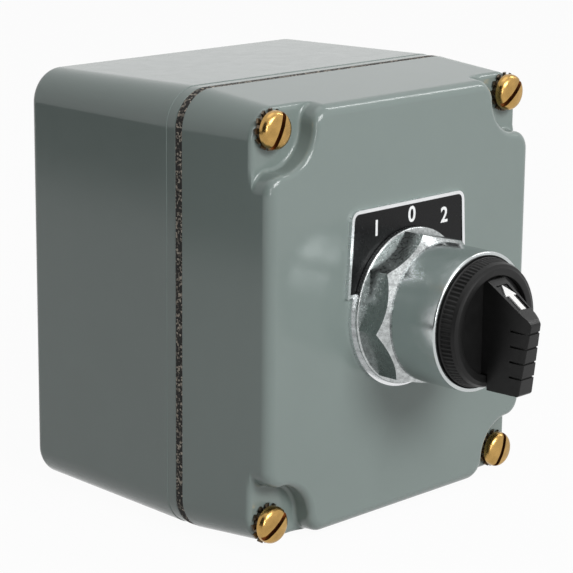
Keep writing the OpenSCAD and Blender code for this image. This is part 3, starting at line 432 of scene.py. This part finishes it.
rear_box = skin("rear_box_casting", drafted_rings(box_w, box_h, corner_r, box_depth, box_draft, lip_r,
                                                  lip_band_w, back_edge_r, box_depth, -1))
cavity = skin("box_cavity", drafted_rings(box_w - 2 * wall, box_h - 2 * wall, corner_r - wall,
                                          box_depth - back_t + overrun, box_draft, lip_r, 0, back_edge_r,
                                          box_depth + overrun, -1))
shape_with(rear_box, [cavity], "DIFFERENCE")
added = four_rods(screw_x, screw_y, back_t / 2, post_r, box_depth - back_t / 2 - lip_r / 2)
added.append(rod(0, -box_h / 2 + wall / 2, box_depth / 2, conduit_r + hub_t, hub_len, "y"))
added.append(rod(ground_x, ground_y, back_t / 2, ground_post_r, ground_post_h + back_t / 2))
shape_with(rear_box, added, "UNION")
holes = four_rods(screw_x, screw_y, box_depth - screw_hole_depth, screw_hole_r, screw_hole_depth + overrun)
holes += four_rods(mount_x, mount_y, -overrun, mount_r, back_t + 2 * overrun)
holes.append(rod(0, -box_h / 2 - overrun, box_depth / 2, conduit_r, hub_len + wall + overrun, "y"))
shape_with(rear_box, holes, "DIFFERENCE")
smooth(rear_box, sharp_angle=28)
give(rear_box, enamel("box_enamel"))
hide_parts("rear_box")
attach(rear_box, "enclosure")


# Joint gasket: granular cork pressed with rubber, cut to the rim of the box. The joint squeezes its
# edge out a little into the rounded lips on both sides. It shows dark binder with lighter grains.
gasket_t = 1.85
gasket_squeeze = 0.28
gasket_inset = 0.06
squeeze_inset = 0.18
lip_inset = 0.5
screw_clear = 0.3
cork_dark = (0.006, 0.005, 0.004)
cork_pale = (0.48, 0.43, 0.36)
cork_grain = 0.5
cork_pale_from = 0.66


def rim_ring(inset, z):
    """Rounded outline of the box and cover where they meet, set in by a distance, at a level."""
    return corner_ring(box_w / 2 - corner_r, box_h / 2 - corner_r, corner_r - inset, z)


edge = [(lip_inset, 0), (squeeze_inset, -gasket_squeeze), (gasket_inset, 0), (gasket_inset, gasket_t),
        (squeeze_inset, gasket_t + gasket_squeeze), (lip_inset, gasket_t)]
gasket = skin("joint_gasket_cork", [rim_ring(inset, box_depth + level) for inset, level in edge])
opening = skin("opening", [rim_ring(wall, box_depth - 2 * overrun),
                           rim_ring(wall, box_depth + gasket_t + 2 * overrun)])
posts = four_rods(screw_x, screw_y, box_depth - 4 * overrun, post_r, gasket_t + 8 * overrun)
shape_with(opening, posts, "DIFFERENCE")
holes = four_rods(screw_x, screw_y, box_depth - 2 * overrun, screw_hole_r + screw_clear,
                  gasket_t + 4 * overrun)
shape_with(gasket, [opening] + holes, "DIFFERENCE")
smooth(gasket, sharp_angle=30)
cork = finish("cork", cork_dark, roughness=0.85, grain_mm=cork_grain, grain_depth=0.06)
tree = cork.node_tree
grains = tree.nodes.new("ShaderNodeTexVoronoi")
socket(grains, "Scale", 1.0)
tree.links.new(place(tree, cork_grain), grains.inputs["Vector"])
split = tree.nodes.new("ShaderNodeSeparateColor")
tree.links.new(grains.outputs["Color"], split.inputs[0])
pale = spread(tree, split.outputs[0], 0, 1, cork_pale_from, 1.0)
tree.links.new(two_colours(tree, pale, cork_dark, cork_pale), shader_of(cork).inputs["Base Color"])
give(gasket, cork)
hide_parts("joint_gasket")
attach(gasket, "enclosure")


# Cover: cast like the box, with steeper walls. Four recesses run in from the corners, each round
# a screw pad, and end in flares on the side walls. It has the same enamel.
base_edge = 0.45
cover_draft = math.radians(5.26)
pad_h = 21.6
face_rise = 5.75
face_t = 3.2
face_edge_r = 2.6
pocket_r = 10
pocket_rim_r = 1.7
pocket_foot_r = 1
flare_r = 4.8
pad_edge_r = 1.3
pad_fade_share = 0.4
cover_post_t = 2.6
panel_hole_r = 15.25
base_steps = 4
flare_steps = 10
face_steps = 12
corner_steps = 24
cover_z = box_depth + gasket_t
pad_z = cover_z + pad_h
face_z = pad_z + face_rise


def half_size(h):
    """Half width and half height of the cover at a height above the gasket."""
    inset = h * math.tan(cover_draft)
    return box_w / 2 - inset, box_h / 2 - inset


def outer_corner(h, start, inset, base=0):
    """Corner path below the pads: up the right wall, round the corner and along the top wall. It is
    set in by base all round, and by inset at the corner alone."""
    w, t = (size - base for size in half_size(h))
    r = corner_r - h * math.tan(cover_draft) - base
    fade = [min(1, (i / (pad_fade_share * flare_steps)) ** 2) for i in range(flare_steps + 1)]
    up = [(w - inset * fade[i], start[1] + (t - r - start[1]) * i / flare_steps)
          for i in range(flare_steps)]
    along = [(start[0] + (w - r - start[0]) * i / flare_steps, t - inset * fade[i])
             for i in range(flare_steps - 1, -1, -1)]
    return up + arc(w - r, t - r, r - inset, 0, 90, corner_steps) + along


def recess_corner(h, edge, rim, foot):
    """Corner path above the pads: flare, concave recess round the screw, flare."""
    w, t = (size - edge for size in half_size(h))
    r = pocket_r + rim - foot
    f = flare_r - rim
    fy = screw_y - math.sqrt((r + f) ** 2 - (screw_x - w + f) ** 2)
    fx = screw_x - math.sqrt((r + f) ** 2 - (screw_y - t + f) ** 2)
    a = math.degrees(math.atan2(screw_y - fy, screw_x - w + f))
    b = math.degrees(math.atan2(screw_x - fx, screw_y - t + f))
    hollow = arc(screw_x, screw_y, r, 180 + a, 270 - b, corner_steps)[1:-1]
    return arc(w - f, fy, f, 0, a, flare_steps) + hollow + arc(fx, t - f, f, 90 - b, 90, flare_steps)


def all_round(path, h):
    """A corner path carried round the four corners, at a height above the gasket."""
    back = path[::-1]
    whole = (path + [(-x, y) for x, y in back] + [(-x, -y) for x, y in path]
             + [(x, -y) for x, y in back])
    return [(x, y, cover_z + h) for x, y in whole]


def edge_inset(r, depth):
    """Inset of a rounded edge of radius r at a depth below its top."""
    return 0 if depth >= r else r - math.sqrt(r * r - (r - depth) ** 2)


def quarter_turn(steps):
    """Pairs of 1 - sine and 1 - cosine at even steps of a quarter turn."""
    turns = [math.radians(90 * i / steps) for i in range(steps + 1)]
    return [(1 - math.sin(a), 1 - math.cos(a)) for a in turns]


first = recess_corner(pad_h, 0, 0, pocket_foot_r)
start = (first[-1][0], first[0][1])
rings = []
for inset, rise in quarter_turn(base_steps):
    h = base_edge * rise
    rings.append(all_round(outer_corner(h, start, 0, base_edge * inset), h))
for drop, inset in quarter_turn(edge_steps):
    h = pad_h - pad_edge_r * drop
    rings.append(all_round(outer_corner(h, start, pad_edge_r * inset), h))
for inset, rise in quarter_turn(edge_steps):
    h = pad_h + pocket_foot_r * rise
    rings.append(all_round(recess_corner(h, 0, 0, pocket_foot_r * inset), h))
for drop, _ in quarter_turn(face_steps):
    rise = face_rise - face_edge_r * drop
    edge = edge_inset(face_edge_r, face_rise - rise)
    rim = edge_inset(pocket_rim_r, face_rise - rise)
    rings.append(all_round(recess_corner(pad_h + rise, edge, rim, 0), pad_h + rise))
cover = skin("cover_casting", rings)
hollow = skin("cover_cavity", drafted_rings(box_w - 2 * wall, box_h - 2 * wall, corner_r - wall,
                                            pad_h + face_rise - face_t + overrun, cover_draft, tolerance,
                                            0, face_t / 2, cover_z - overrun, 1))
posts = four_rods(screw_x, screw_y, cover_z - 2 * overrun, post_r, pad_h)
posts += four_rods(screw_x, screw_y, pad_z - face_t, pocket_r + cover_post_t, face_rise + face_t)
shape_with(hollow, posts, "DIFFERENCE")
shape_with(cover, [hollow], "DIFFERENCE")
holes = four_rods(screw_x, screw_y, cover_z - overrun, screw_hole_r + screw_clear, pad_h + 2 * overrun)
holes.append(rod(0, 0, face_z - face_t - overrun, panel_hole_r, face_t + 2 * overrun))
shape_with(cover, holes, "DIFFERENCE")
smooth(cover, sharp_angle=40)
give(cover, enamel("cover_enamel"))
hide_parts("cover")
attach(cover, "enclosure")


# Cover screws: slotted cheese heads turned from brass, well rounded in front and bevelled behind,
# each left at its own angle. Fine turning rings run round each axis, and the slots are painted darker, as
# shade.
brass_colour = (0.46, 0.28, 0.09)
# Brass painted darker, as shade that falls in the slots.
slot_shade_colour = (0.22, 0.11, 0.045)
turning_pitch = 0.35
turning_depth = 0.004
screw_r = 2.4
screw_grip = 13
head_r = 4.6
head_h = 2.8
head_round = 1.6
head_bevel = 0.5
head_crown = 0.4
crown_share = 0.8
crown_r = 0.2
slot_w = 1.25
washer_t = 1.1
# Each screw's side and half of the cover, and the angle of its slot.
screw_places = [(-1, 1, 66), (1, 1, 42), (-1, -1, 36), (1, -1, 68)]
seat_z = pad_z + washer_t
head_z = seat_z + head_h
slot_z = seat_z + head_h / 2
shank_z = box_depth - screw_grip


def turning(name, x, y, profile, sides=72):
    """Solid of revolution through radii and levels, round an axis at a place in the front view."""
    circles = [(arc(0, 0, r, 0, 360, sides)[:-1], z) for r, z in profile]
    return skin(name, [[(x + a, y + b, z) for a, b in circle] for circle, z in circles])


def turned(a, b, angle):
    """A flat point turned round the middle."""
    return a * math.cos(angle) - b * math.sin(angle), a * math.sin(angle) + b * math.cos(angle)


def oblong(half, low, high):
    """Corners of a rectangle that reaches as far to both sides, and from low to high."""
    return [(-half, low), (half, low), (half, high), (-half, high)]


def joined(name, parts):
    """One piece made of several."""
    work = bmesh.new()
    for part in parts:
        work.from_mesh(part.data)
        bpy.data.objects.remove(part)
    mesh = bpy.data.meshes.new(name)
    work.to_mesh(mesh)
    work.free()
    return put(name, mesh)


screws = []
for sx, sy, angle in screw_places:
    x, y, lean = sx * screw_x, sy * screw_y, math.radians(angle)
    profile = [(screw_r / 2, shank_z), (screw_r, shank_z + screw_r / 2), (screw_r, seat_z),
               (head_r - head_bevel, seat_z), (head_r, seat_z + head_bevel)]
    profile += arc(head_r - head_round, head_z - head_round, head_round, 0, 80, edge_steps)
    profile += [(head_r / 3, head_z + head_crown * crown_share), (crown_r, head_z + head_crown)]
    screw = turning("screw", x, y, profile)
    ends = [turned(a, b, lean) for a, b in oblong(2 * head_r, -slot_w / 2, slot_w / 2)]
    slot = skin("slot", [[(x + a, y + b, level) for a, b in ends] for level in (slot_z, seat_z + 2 * head_h)])
    shape_with(screw, [slot], "DIFFERENCE")
    # Faces in the slot take the second finish, the brass painted darker as shade.
    for face in screw.data.polygons:
        across = turned(face.center.x / MM - x, face.center.z / MM - y, -lean)[1]
        level = -face.center.y / MM
        face.material_index = int(abs(across) < slot_w / 2 + tolerance and level > slot_z - tolerance)
    screws.append(screw)
cover_screws = joined("cover_screws_brass", screws)
smooth(cover_screws, sharp_angle=32)


def round_each_screw(tree):
    """Distance from the nearest cover screw's axis, in metres."""
    parts = tree.nodes.new("ShaderNodeSeparateXYZ")
    tree.links.new(object_place(tree), parts.inputs[0])
    flat = tree.nodes.new("ShaderNodeCombineXYZ")
    for entry, name, middle in ((0, "X", screw_x), (1, "Z", screw_y)):
        size = arithmetic(tree, "ABSOLUTE", parts.outputs[name])
        tree.links.new(arithmetic(tree, "SUBTRACT", size, middle * MM), flat.inputs[entry])
    length = tree.nodes.new("ShaderNodeVectorMath")
    length.operation = "LENGTH"
    tree.links.new(flat.outputs[0], length.inputs[0])
    return length.outputs["Value"]


brass = finish("brass", brass_colour, roughness=0.24, metallic=1.0, shade=0.16, mottle_mm=2.2,
               rough_spread=0.06, grain_mm=0.5, grain_depth=0.006)
tree = brass.node_tree
phase = arithmetic(tree, "MULTIPLY", round_each_screw(tree), 2 * math.pi / (turning_pitch * MM))
dents(tree, arithmetic(tree, "SINE", phase), turning_depth, shader_of(brass))
# The slots' finish is brass painted darker, as shade in the slots.
slot_painted_shade = finish("slot_painted_shade", slot_shade_colour, roughness=0.35, metallic=1.0, shade=0.3, mottle_mm=1.5)
cover_screws.data.materials.append(brass)
cover_screws.data.materials.append(slot_painted_shade)
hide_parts("cover_screws")
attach(cover_screws, "enclosure")


# Lock washers: stamped steel, a flat ring with twelve teeth that are twisted about their own
# middles. They are browned, and vary much from dark to light.
washer_r = 4.95
washer_teeth = 12
tooth_twist = math.radians(24)
tooth_w = 1.34
tooth_t = 0.6
washer_hole_r = screw_hole_r + screw_clear
core_r = head_r - head_bevel
washer_colour = (0.11, 0.085, 0.06)

teeth = []
for sx, sy, _ in screw_places:
    x, y = sx * screw_x, sy * screw_y
    core = turning("core", x, y, [(core_r, pad_z), (core_r, seat_z)])
    hole = turning("hole", x, y, [(washer_hole_r, pad_z - overrun), (washer_hole_r, seat_z + overrun)])
    shape_with(core, [hole], "DIFFERENCE")
    teeth.append(core)
    for i in range(washer_teeth):
        spoke = 2 * math.pi * i / washer_teeth
        rings = []
        for reach in (core_r - overrun, washer_r):
            ring = []
            for a, b in oblong(tooth_w / 2, -tooth_t / 2, tooth_t / 2):
                side, rise = turned(a, b, tooth_twist)
                right, up = turned(reach, side, spoke)
                ring.append((x + right, y + up, pad_z + washer_t / 2 + rise))
            rings.append(ring)
        teeth.append(skin("tooth", rings))
lock_washers = joined("lock_washers_toothed", teeth)
smooth(lock_washers, sharp_angle=30)
give(lock_washers, finish("washer_steel", washer_colour, roughness=0.3, metallic=1.0, shade=0.6,
                          mottle_mm=0.9, rough_spread=0.1, grain_mm=0.3, grain_depth=0.02))
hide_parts("lock_washers")
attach(lock_washers, "enclosure")


# Legend plate: sheet aluminium. The field is printed black and sunk below a polished border, and
# plain numerals mark the three positions.
plate_front_z = 85.6
field_depth = 0.2
field_from_share = 0.6
field_fade = 0.02
front_facing = -0.9
side_facing = -0.5
plate_specular = 0.18
border_colour = (0.80, 0.81, 0.82)
field_colour = (0.003, 0.003, 0.0035)
numeral_white = (0.85, 0.86, 0.86)
numeral_h = 3.9
type_share = 1.4
print_t = 0.03
stroke_gain = 0.11
numeral_places = [("1", -11.8, 20.9), ("0", 1.0, 22.5), ("2", 13.2, 20.6)]

plate_look = finish("plate_finish", border_colour, roughness=0.26, metallic=1.0, shade=0.05, mottle_mm=5,
                    rough_spread=0.06, grain_mm=0.6, grain_depth=0.002)
shader = shader_of(plate_look)
tree = plate_look.node_tree
parts = tree.nodes.new("ShaderNodeSeparateXYZ")
tree.links.new(object_place(tree), parts.inputs[0])
field_level = -(plate_front_z - field_depth * field_from_share) * MM
facing = tree.nodes.new("ShaderNodeNewGeometry")
turn = tree.nodes.new("ShaderNodeSeparateXYZ")
tree.links.new(facing.outputs["Normal"], turn.inputs[0])
front_side = spread(tree, turn.outputs["Y"], 1, 0, front_facing, side_facing)
below = spread(tree, parts.outputs["Y"], 0, 1, field_level, field_level + field_fade * MM)
field = arithmetic(tree, "MULTIPLY", front_side, below)
border = shader.inputs["Base Color"].links[0].from_socket
tree.links.new(two_colours(tree, field, border, field_colour), shader.inputs["Base Color"])
tree.links.new(spread(tree, field, 1, 0, 0, 1), shader.inputs["Metallic"])
socket(shader, "Specular IOR Level", plate_specular)
give(nodes["legend_plate"], plate_look)

numeral_look = finish("numeral_print", numeral_white, roughness=0.5, shade=0.02, grain_mm=0.3,
                      grain_depth=0.003)
for digit, x, y in numeral_places:
    shape = bpy.data.curves.new(f"numeral_{digit}", "FONT")
    shape.body = digit
    shape.align_x = "CENTER"
    shape.align_y = "CENTER"
    shape.size = numeral_h * type_share * MM
    shape.extrude = print_t * MM
    shape.offset = stroke_gain * MM
    lettering = put(f"numeral_{digit}", shape)
    lettering.rotation_euler = (math.radians(90), 0, 0)
    lettering.location = stand([(x, y, plate_front_z - field_depth + print_t)])[0]
    bpy.context.view_layer.update()
    graph = bpy.context.evaluated_depsgraph_get()
    mesh = bpy.data.meshes.new_from_object(lettering.evaluated_get(graph))
    mesh.transform(lettering.matrix_world)
    bpy.data.objects.remove(lettering)
    numeral = put(f"plate_numeral_{digit}", mesh)
    give(numeral, numeral_look)
    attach(numeral, "enclosure")


# Ring nut: die-cast zinc with satin chrome, and a smooth sleeve turned in front of its eight flats.
# The flats keep a cast texture and are painted darker, as shade; the chamfer has a few pits and is painted
# lighter, as light on it; the sleeve mirrors the cover. It curves in a little to its rim, a thick bright
# band.
nut_corner_r = 19.4
nut_sides = 8
nut_turn = 8.6
skirt_r = 19.7
skirt_t = 1.4
skirt_edge = 0.5
nut_len = 5.6
chamfer_len = 2.6
sleeve_r = 17.3
sleeve_t = 1.15
sleeve_reach = 24.4
sleeve_curve = 0.1
curve_len = 6.5
curve_steps = 6
rim_round = 0.5
neck_w = 0.5
neck_depth = 0.3
bush_r = 15
turned_sides = 192
flat_slope = 0.2
nut_flat_z = plate_front_z + skirt_t
nut_chamfer_z = nut_flat_z + nut_len
neck_z = nut_chamfer_z + chamfer_len
bush_front_z = neck_z + 2 * neck_w
rim_z = face_z + sleeve_reach
sleeve_bore_r = sleeve_r - sleeve_t
sleeve_colour = (0.54, 0.57, 0.57)
# One chrome in three tones: the sleeve's own, the flats darker as painted shade, the chamfer lighter as
# painted light.
flats_shade_colour = (0.27, 0.295, 0.29)
chamfer_lit_colour = (0.44, 0.46, 0.46)

outside = [(skirt_r, plate_front_z)]
outside += arc(skirt_r - skirt_edge, nut_flat_z - skirt_edge, skirt_edge, 0, 90, steps=5)
outside += [(sleeve_r - neck_depth, nut_flat_z), (sleeve_r - neck_depth, neck_z + neck_w),
            (sleeve_r, neck_z + neck_w + neck_depth)]
outside += [(sleeve_r - sleeve_curve * (i / curve_steps) ** 2,
             rim_z - curve_len + (curve_len - rim_round) * i / curve_steps) for i in range(curve_steps)]
outside += arc(sleeve_r - sleeve_curve - rim_round, rim_z - rim_round, rim_round, 0, 90, steps=6)
outside += arc(sleeve_bore_r + rim_round / 2, rim_z - rim_round / 2, rim_round / 2, 90, 180, steps=4)
outside += [(sleeve_bore_r, bush_front_z)]
ring_nut = turning("ring_nut_casting", 0, 0, outside, turned_sides)
corners = arc(0, 0, nut_corner_r, nut_turn, nut_turn + 360, nut_sides)[:-1]
flats = skin("flats", [[(x, y, z) for x, y in corners] for z in (nut_flat_z - skirt_t / 2, neck_z)])
cone = turning("cone", 0, 0, [(nut_corner_r, plate_front_z), (nut_corner_r, nut_chamfer_z),
                              (sleeve_r, neck_z)], turned_sides)
shape_with(flats, [cone], "INTERSECT")
shape_with(ring_nut, [flats], "UNION")
bore = turning("bore", 0, 0, [(bush_r, plate_front_z - overrun), (bush_r, rim_z + overrun)], turned_sides)
shape_with(ring_nut, [bore], "DIFFERENCE")
smooth(ring_nut, sharp_angle=24)

# The second and third finishes are the chrome with painted shade and the chrome with painted light.
give(ring_nut,
     finish("sleeve_chrome", sleeve_colour, roughness=0.2, metallic=1.0, shade=0.03, mottle_mm=6,
            rough_spread=0.04, grain_mm=1.2, grain_depth=0.004),
     finish("flats_chrome_painted_shade", flats_shade_colour, roughness=0.3, metallic=1.0, shade=0.14, mottle_mm=2.4,
            rough_spread=0.1, grain_mm=0.9, grain_depth=0.022),
     finish("chamfer_chrome_painted_light", chamfer_lit_colour, roughness=0.24, metallic=1.0, shade=0.3, mottle_mm=1.1,
            rough_spread=0.1, grain_mm=0.5, grain_depth=0.016))
# Sleeve faces take the sleeve's chrome, the flats the chrome with painted shade, and the chamfer, skirt and
# neck the chrome with painted light.
for face in ring_nut.data.polygons:
    level = -face.center.y / MM
    on_flat = nut_flat_z < level < neck_z and abs(face.normal.y) < flat_slope
    face.material_index = 0 if level > neck_z + neck_w / 2 else 1 if on_flat else 2
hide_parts("ring_nut")
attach(ring_nut, "enclosure")


# Knob ring: moulded black plastic. It has a smooth lip at the sleeve's rim, then a cone of fine
# rounded ribs, a flat shoulder and a dish that holds the lever. A hub behind fits the shaft.
knob_gap = 0.2
knob_clear = 0.1
shoulder_rise = 4.5
shoulder_r = 14.6
shoulder_edge = 0.5
shoulder_round = 0.3
shoulder_len = 1.125
dish_r = 12.15
dish_depth = 1.4
dish_round = 0.25
socket_depth = 4.2
hub_r = 6.4
lip_w = 0.3
rib_count = 84
rib_depth = 0.34
rib_end = 0.1
rib_steps = 8
knob_wall = 2.1
knob_web = 3
knob_r = sleeve_bore_r - knob_gap
bore_r = knob_r - knob_wall
knob_back_z = bush_front_z + knob_gap + knob_clear
shoulder_z = rim_z + shoulder_rise
dish_z = shoulder_z - dish_depth
socket_z = dish_z - socket_depth
web_z = socket_z - knob_web
lip_z = rim_z + neck_w
cone_z = shoulder_z - shoulder_len
cone_r = (knob_r + shoulder_r) / 2
black_colour = (0.006, 0.006, 0.006)
ring_specular = 0.25


def ribbed(r, z, depth=0):
    """Ring at a level whose radius dips by a depth between the ribs."""
    count = rib_count * rib_steps
    points = []
    for i in range(count):
        a = 2 * math.pi * i / count
        reach = r - depth * (0.5 - 0.5 * math.cos(2 * math.pi * i / rib_steps))
        points.append((reach * math.cos(a), reach * math.sin(a), z))
    return points


levels = [(hub_r, knob_back_z), (hub_r, web_z), (bore_r, web_z), (bore_r, knob_back_z), (knob_r, knob_back_z)]
levels += arc(knob_r - neck_w / 2, lip_z - neck_w / 2, neck_w / 2, 0, 90, steps=4)
levels += [(knob_r - lip_w, lip_z), (knob_r - lip_w, lip_z + rib_end, rib_depth),
           (cone_r - rib_end, cone_z - rib_end, rib_depth), (cone_r, cone_z),
           ((cone_r + 2 * shoulder_r) / 3, shoulder_z - shoulder_round)]
levels += arc(shoulder_r - shoulder_edge - shoulder_round, shoulder_z - shoulder_round, shoulder_round,
              45, 90, steps=3)
levels += arc(dish_r + dish_round, shoulder_z - dish_round, dish_round, 90, 180, steps=4)
levels += [(dish_r, socket_z)]
knob_ring = skin("knob_ring_moulding", [ribbed(*level) for level in levels])
smooth(knob_ring, sharp_angle=38)
ring_look = finish("knob_black", black_colour, roughness=0.42, shade=0.2, mottle_mm=3, rough_spread=0.05,
                   grain_mm=0.25, grain_depth=0.006)
socket(shader_of(ring_look), "Specular IOR Level", ring_specular)
give(knob_ring, ring_look)
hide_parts("knob_ring")
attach(knob_ring, "knob")


# Lever: black plastic, moulded with a disc that fits the dish. The bar narrows to the front, has a
# long bevel with the bed of the arrow, four grip grooves, and edges that catch the light.
lever_root_w = 6.6
lever_front_w = 5
lever_reach = 41.1
lever_edge = 0.7
lever_taper = 1.7
lever_specular = 0.28
nose_y = 3.2
nose_r = 1
foot_y = 15.4
foot_gap = 0.3
front_lean = 2.5
groove_count = 4
groove_pitch = 3.75
groove_w = 0.5
groove_depth = 0.4
groove_back = 5.5
groove_top_y = 0.4
bevel_step = 1
arrow_bed = 0.3
arrow_bed_w = 4.1
arrow_bed_start = 2.2
arrow_bed_len = 8.4
edge_round = 0.16
edge_round_angle = 25
slip = 0.1
nose_z = face_z + lever_reach
bevel_start_y = math.sqrt(dish_r ** 2 - (lever_root_w / 2) ** 2) - 2 * slip
bevel_start_z = dish_z + bevel_step
front_low_z = nose_z - front_lean
foot_z = shoulder_z + foot_gap
groove_back_z = nose_z - groove_back
half_root = lever_root_w / 2
half_front = lever_front_w / 2


def prism(name, outline, low, high, along):
    """Bar with a flat outline, drawn out along x or along y."""
    if along == "x":
        return skin(name, [[(end, a, b) for a, b in outline] for end in (low, high)])
    return skin(name, [[(a, end, b) for a, b in outline] for end in (low, high)])


side = [(bevel_start_y, dish_z - slip), (bevel_start_y, bevel_start_z),
        (nose_y + nose_r / 2, nose_z - nose_r)]
side += arc(nose_y - nose_r, nose_z - nose_r, nose_r, 30, 90, steps=5)
side += [(-foot_y + nose_r / 2, front_low_z), (-foot_y, front_low_z - nose_r / 2), (-foot_y, foot_z),
         (-bevel_start_y, foot_z), (-bevel_start_y, dish_z - slip)]
top = [(half_front, nose_z - lever_edge - lever_taper), (half_front - lever_edge, nose_z)]
across = [(-half_root, dish_z - overrun), (half_root, dish_z - overrun)] + top
across += [(-x, z) for x, z in top[::-1]]
lever = prism("knob_lever_moulding", side, -half_root, half_root, "x")
shape_with(lever, [prism("across", across, -dish_r - foot_y, dish_r, "y")], "INTERSECT")
rounding = lever.modifiers.new("edge_round", "BEVEL")
rounding.width = edge_round * MM
rounding.segments = 2
rounding.limit_method = "ANGLE"
rounding.angle_limit = math.radians(edge_round_angle)
disc = turning("disc", 0, 0, [(dish_r - slip, socket_z + slip / 2), (dish_r - slip, dish_z)], turned_sides)
shape_with(lever, [disc], "UNION")
cuts = []
for i in range(groove_count):
    y = groove_top_y - i * groove_pitch
    low, high = y - groove_w / 2, y + groove_w / 2
    floor_z = nose_z - groove_depth - front_lean * (nose_y - y) / (nose_y + foot_y)
    cut = prism("groove", oblong(lever_root_w, groove_back_z, nose_z + lever_root_w), low, high, "y")
    kept = prism("kept", oblong(half_front - groove_depth, groove_back_z - overrun, floor_z),
                 low - overrun, high + overrun, "y")
    shape_with(cut, [kept], "DIFFERENCE")
    cuts.append(cut)
lean = math.atan2(nose_z - nose_r - bevel_start_z, bevel_start_y - nose_y - nose_r / 2)
bed_far = -arrow_bed_start - arrow_bed_len
bed = [turned(along, rise, -lean) for along, rise in ((bed_far, -arrow_bed), (-arrow_bed_start, -arrow_bed),
                                                      (-arrow_bed_start, overrun), (bed_far, overrun))]
bed = [(bevel_start_y + a, bevel_start_z + b) for a, b in bed]
cuts.append(prism("bed", bed, -arrow_bed_w / 2, arrow_bed_w / 2, "x"))
shape_with(lever, cuts, "DIFFERENCE")
smooth(lever, sharp_angle=30)
lever_look = finish("lever_black", black_colour, roughness=0.36, shade=0.2, mottle_mm=3, rough_spread=0.05,
                    grain_mm=0.25, grain_depth=0.006)
socket(shader_of(lever_look), "Specular IOR Level", lever_specular)
give(lever, lever_look)
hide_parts("knob_lever")
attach(lever, "knob")


# Arrow: white plastic, set into its bed on the bevel; on the switch it turns with the knob. It is the CAD
# piece, and only gets its finish here.
arrow_colour = (0.82, 0.82, 0.81)
give(nodes["lever_arrow"], finish("arrow_white", arrow_colour, roughness=0.45, shade=0.03, grain_mm=0.3,
                                  grain_depth=0.004))


# Inner pieces: zinc, plated steel, bronze, copper, rubber and moulded plastic, as such switches
# have them. They show through the conduit hole. Each finish has colour, roughness and metal share.
inner_finishes = {
    "cast_zinc": ((0.50, 0.51, 0.52), 0.45, 1.0, ["operator_body"]),
    "plated_steel": ((0.55, 0.55, 0.56), 0.3, 1.0,
                     ["detent_spring", "adapter_plate", "block_screws", "terminal_clamps", "knob_screw",
                      "operating_shaft", "thrust_washer", "retaining_ring", "return_spring_left",
                      "return_spring_right"]),
    "bearing_bronze": ((0.55, 0.36, 0.17), 0.35, 1.0, ["shaft_bearing"]),
    "terminal_brass": ((0.75, 0.55, 0.25), 0.3, 1.0, ["terminal_screws"]),
    "contact_copper": ((0.72, 0.42, 0.27), 0.3, 1.0, ["terminal_straps", "bridge_left", "bridge_right"]),
    "seal_rubber": ((0.02, 0.02, 0.02), 0.7, 0.0, ["panel_seal", "shaft_seal"]),
    "block_black": ((0.025, 0.025, 0.025), 0.5, 0.0, ["contact_housing", "contact_lid", "cam"]),
    "plunger_red": ((0.45, 0.05, 0.03), 0.45, 0.0, ["plunger_left", "plunger_right"]),
    "ground_green": ((0.04, 0.22, 0.08), 0.4, 0.3, ["ground_screw"]),
}
for name, (colour, roughness, metallic, members) in inner_finishes.items():
    look = finish(name, colour, roughness, metallic, mottle_mm=3, grain_mm=0.4, grain_depth=0.01)
    for member in members:
        give(nodes[member], look)
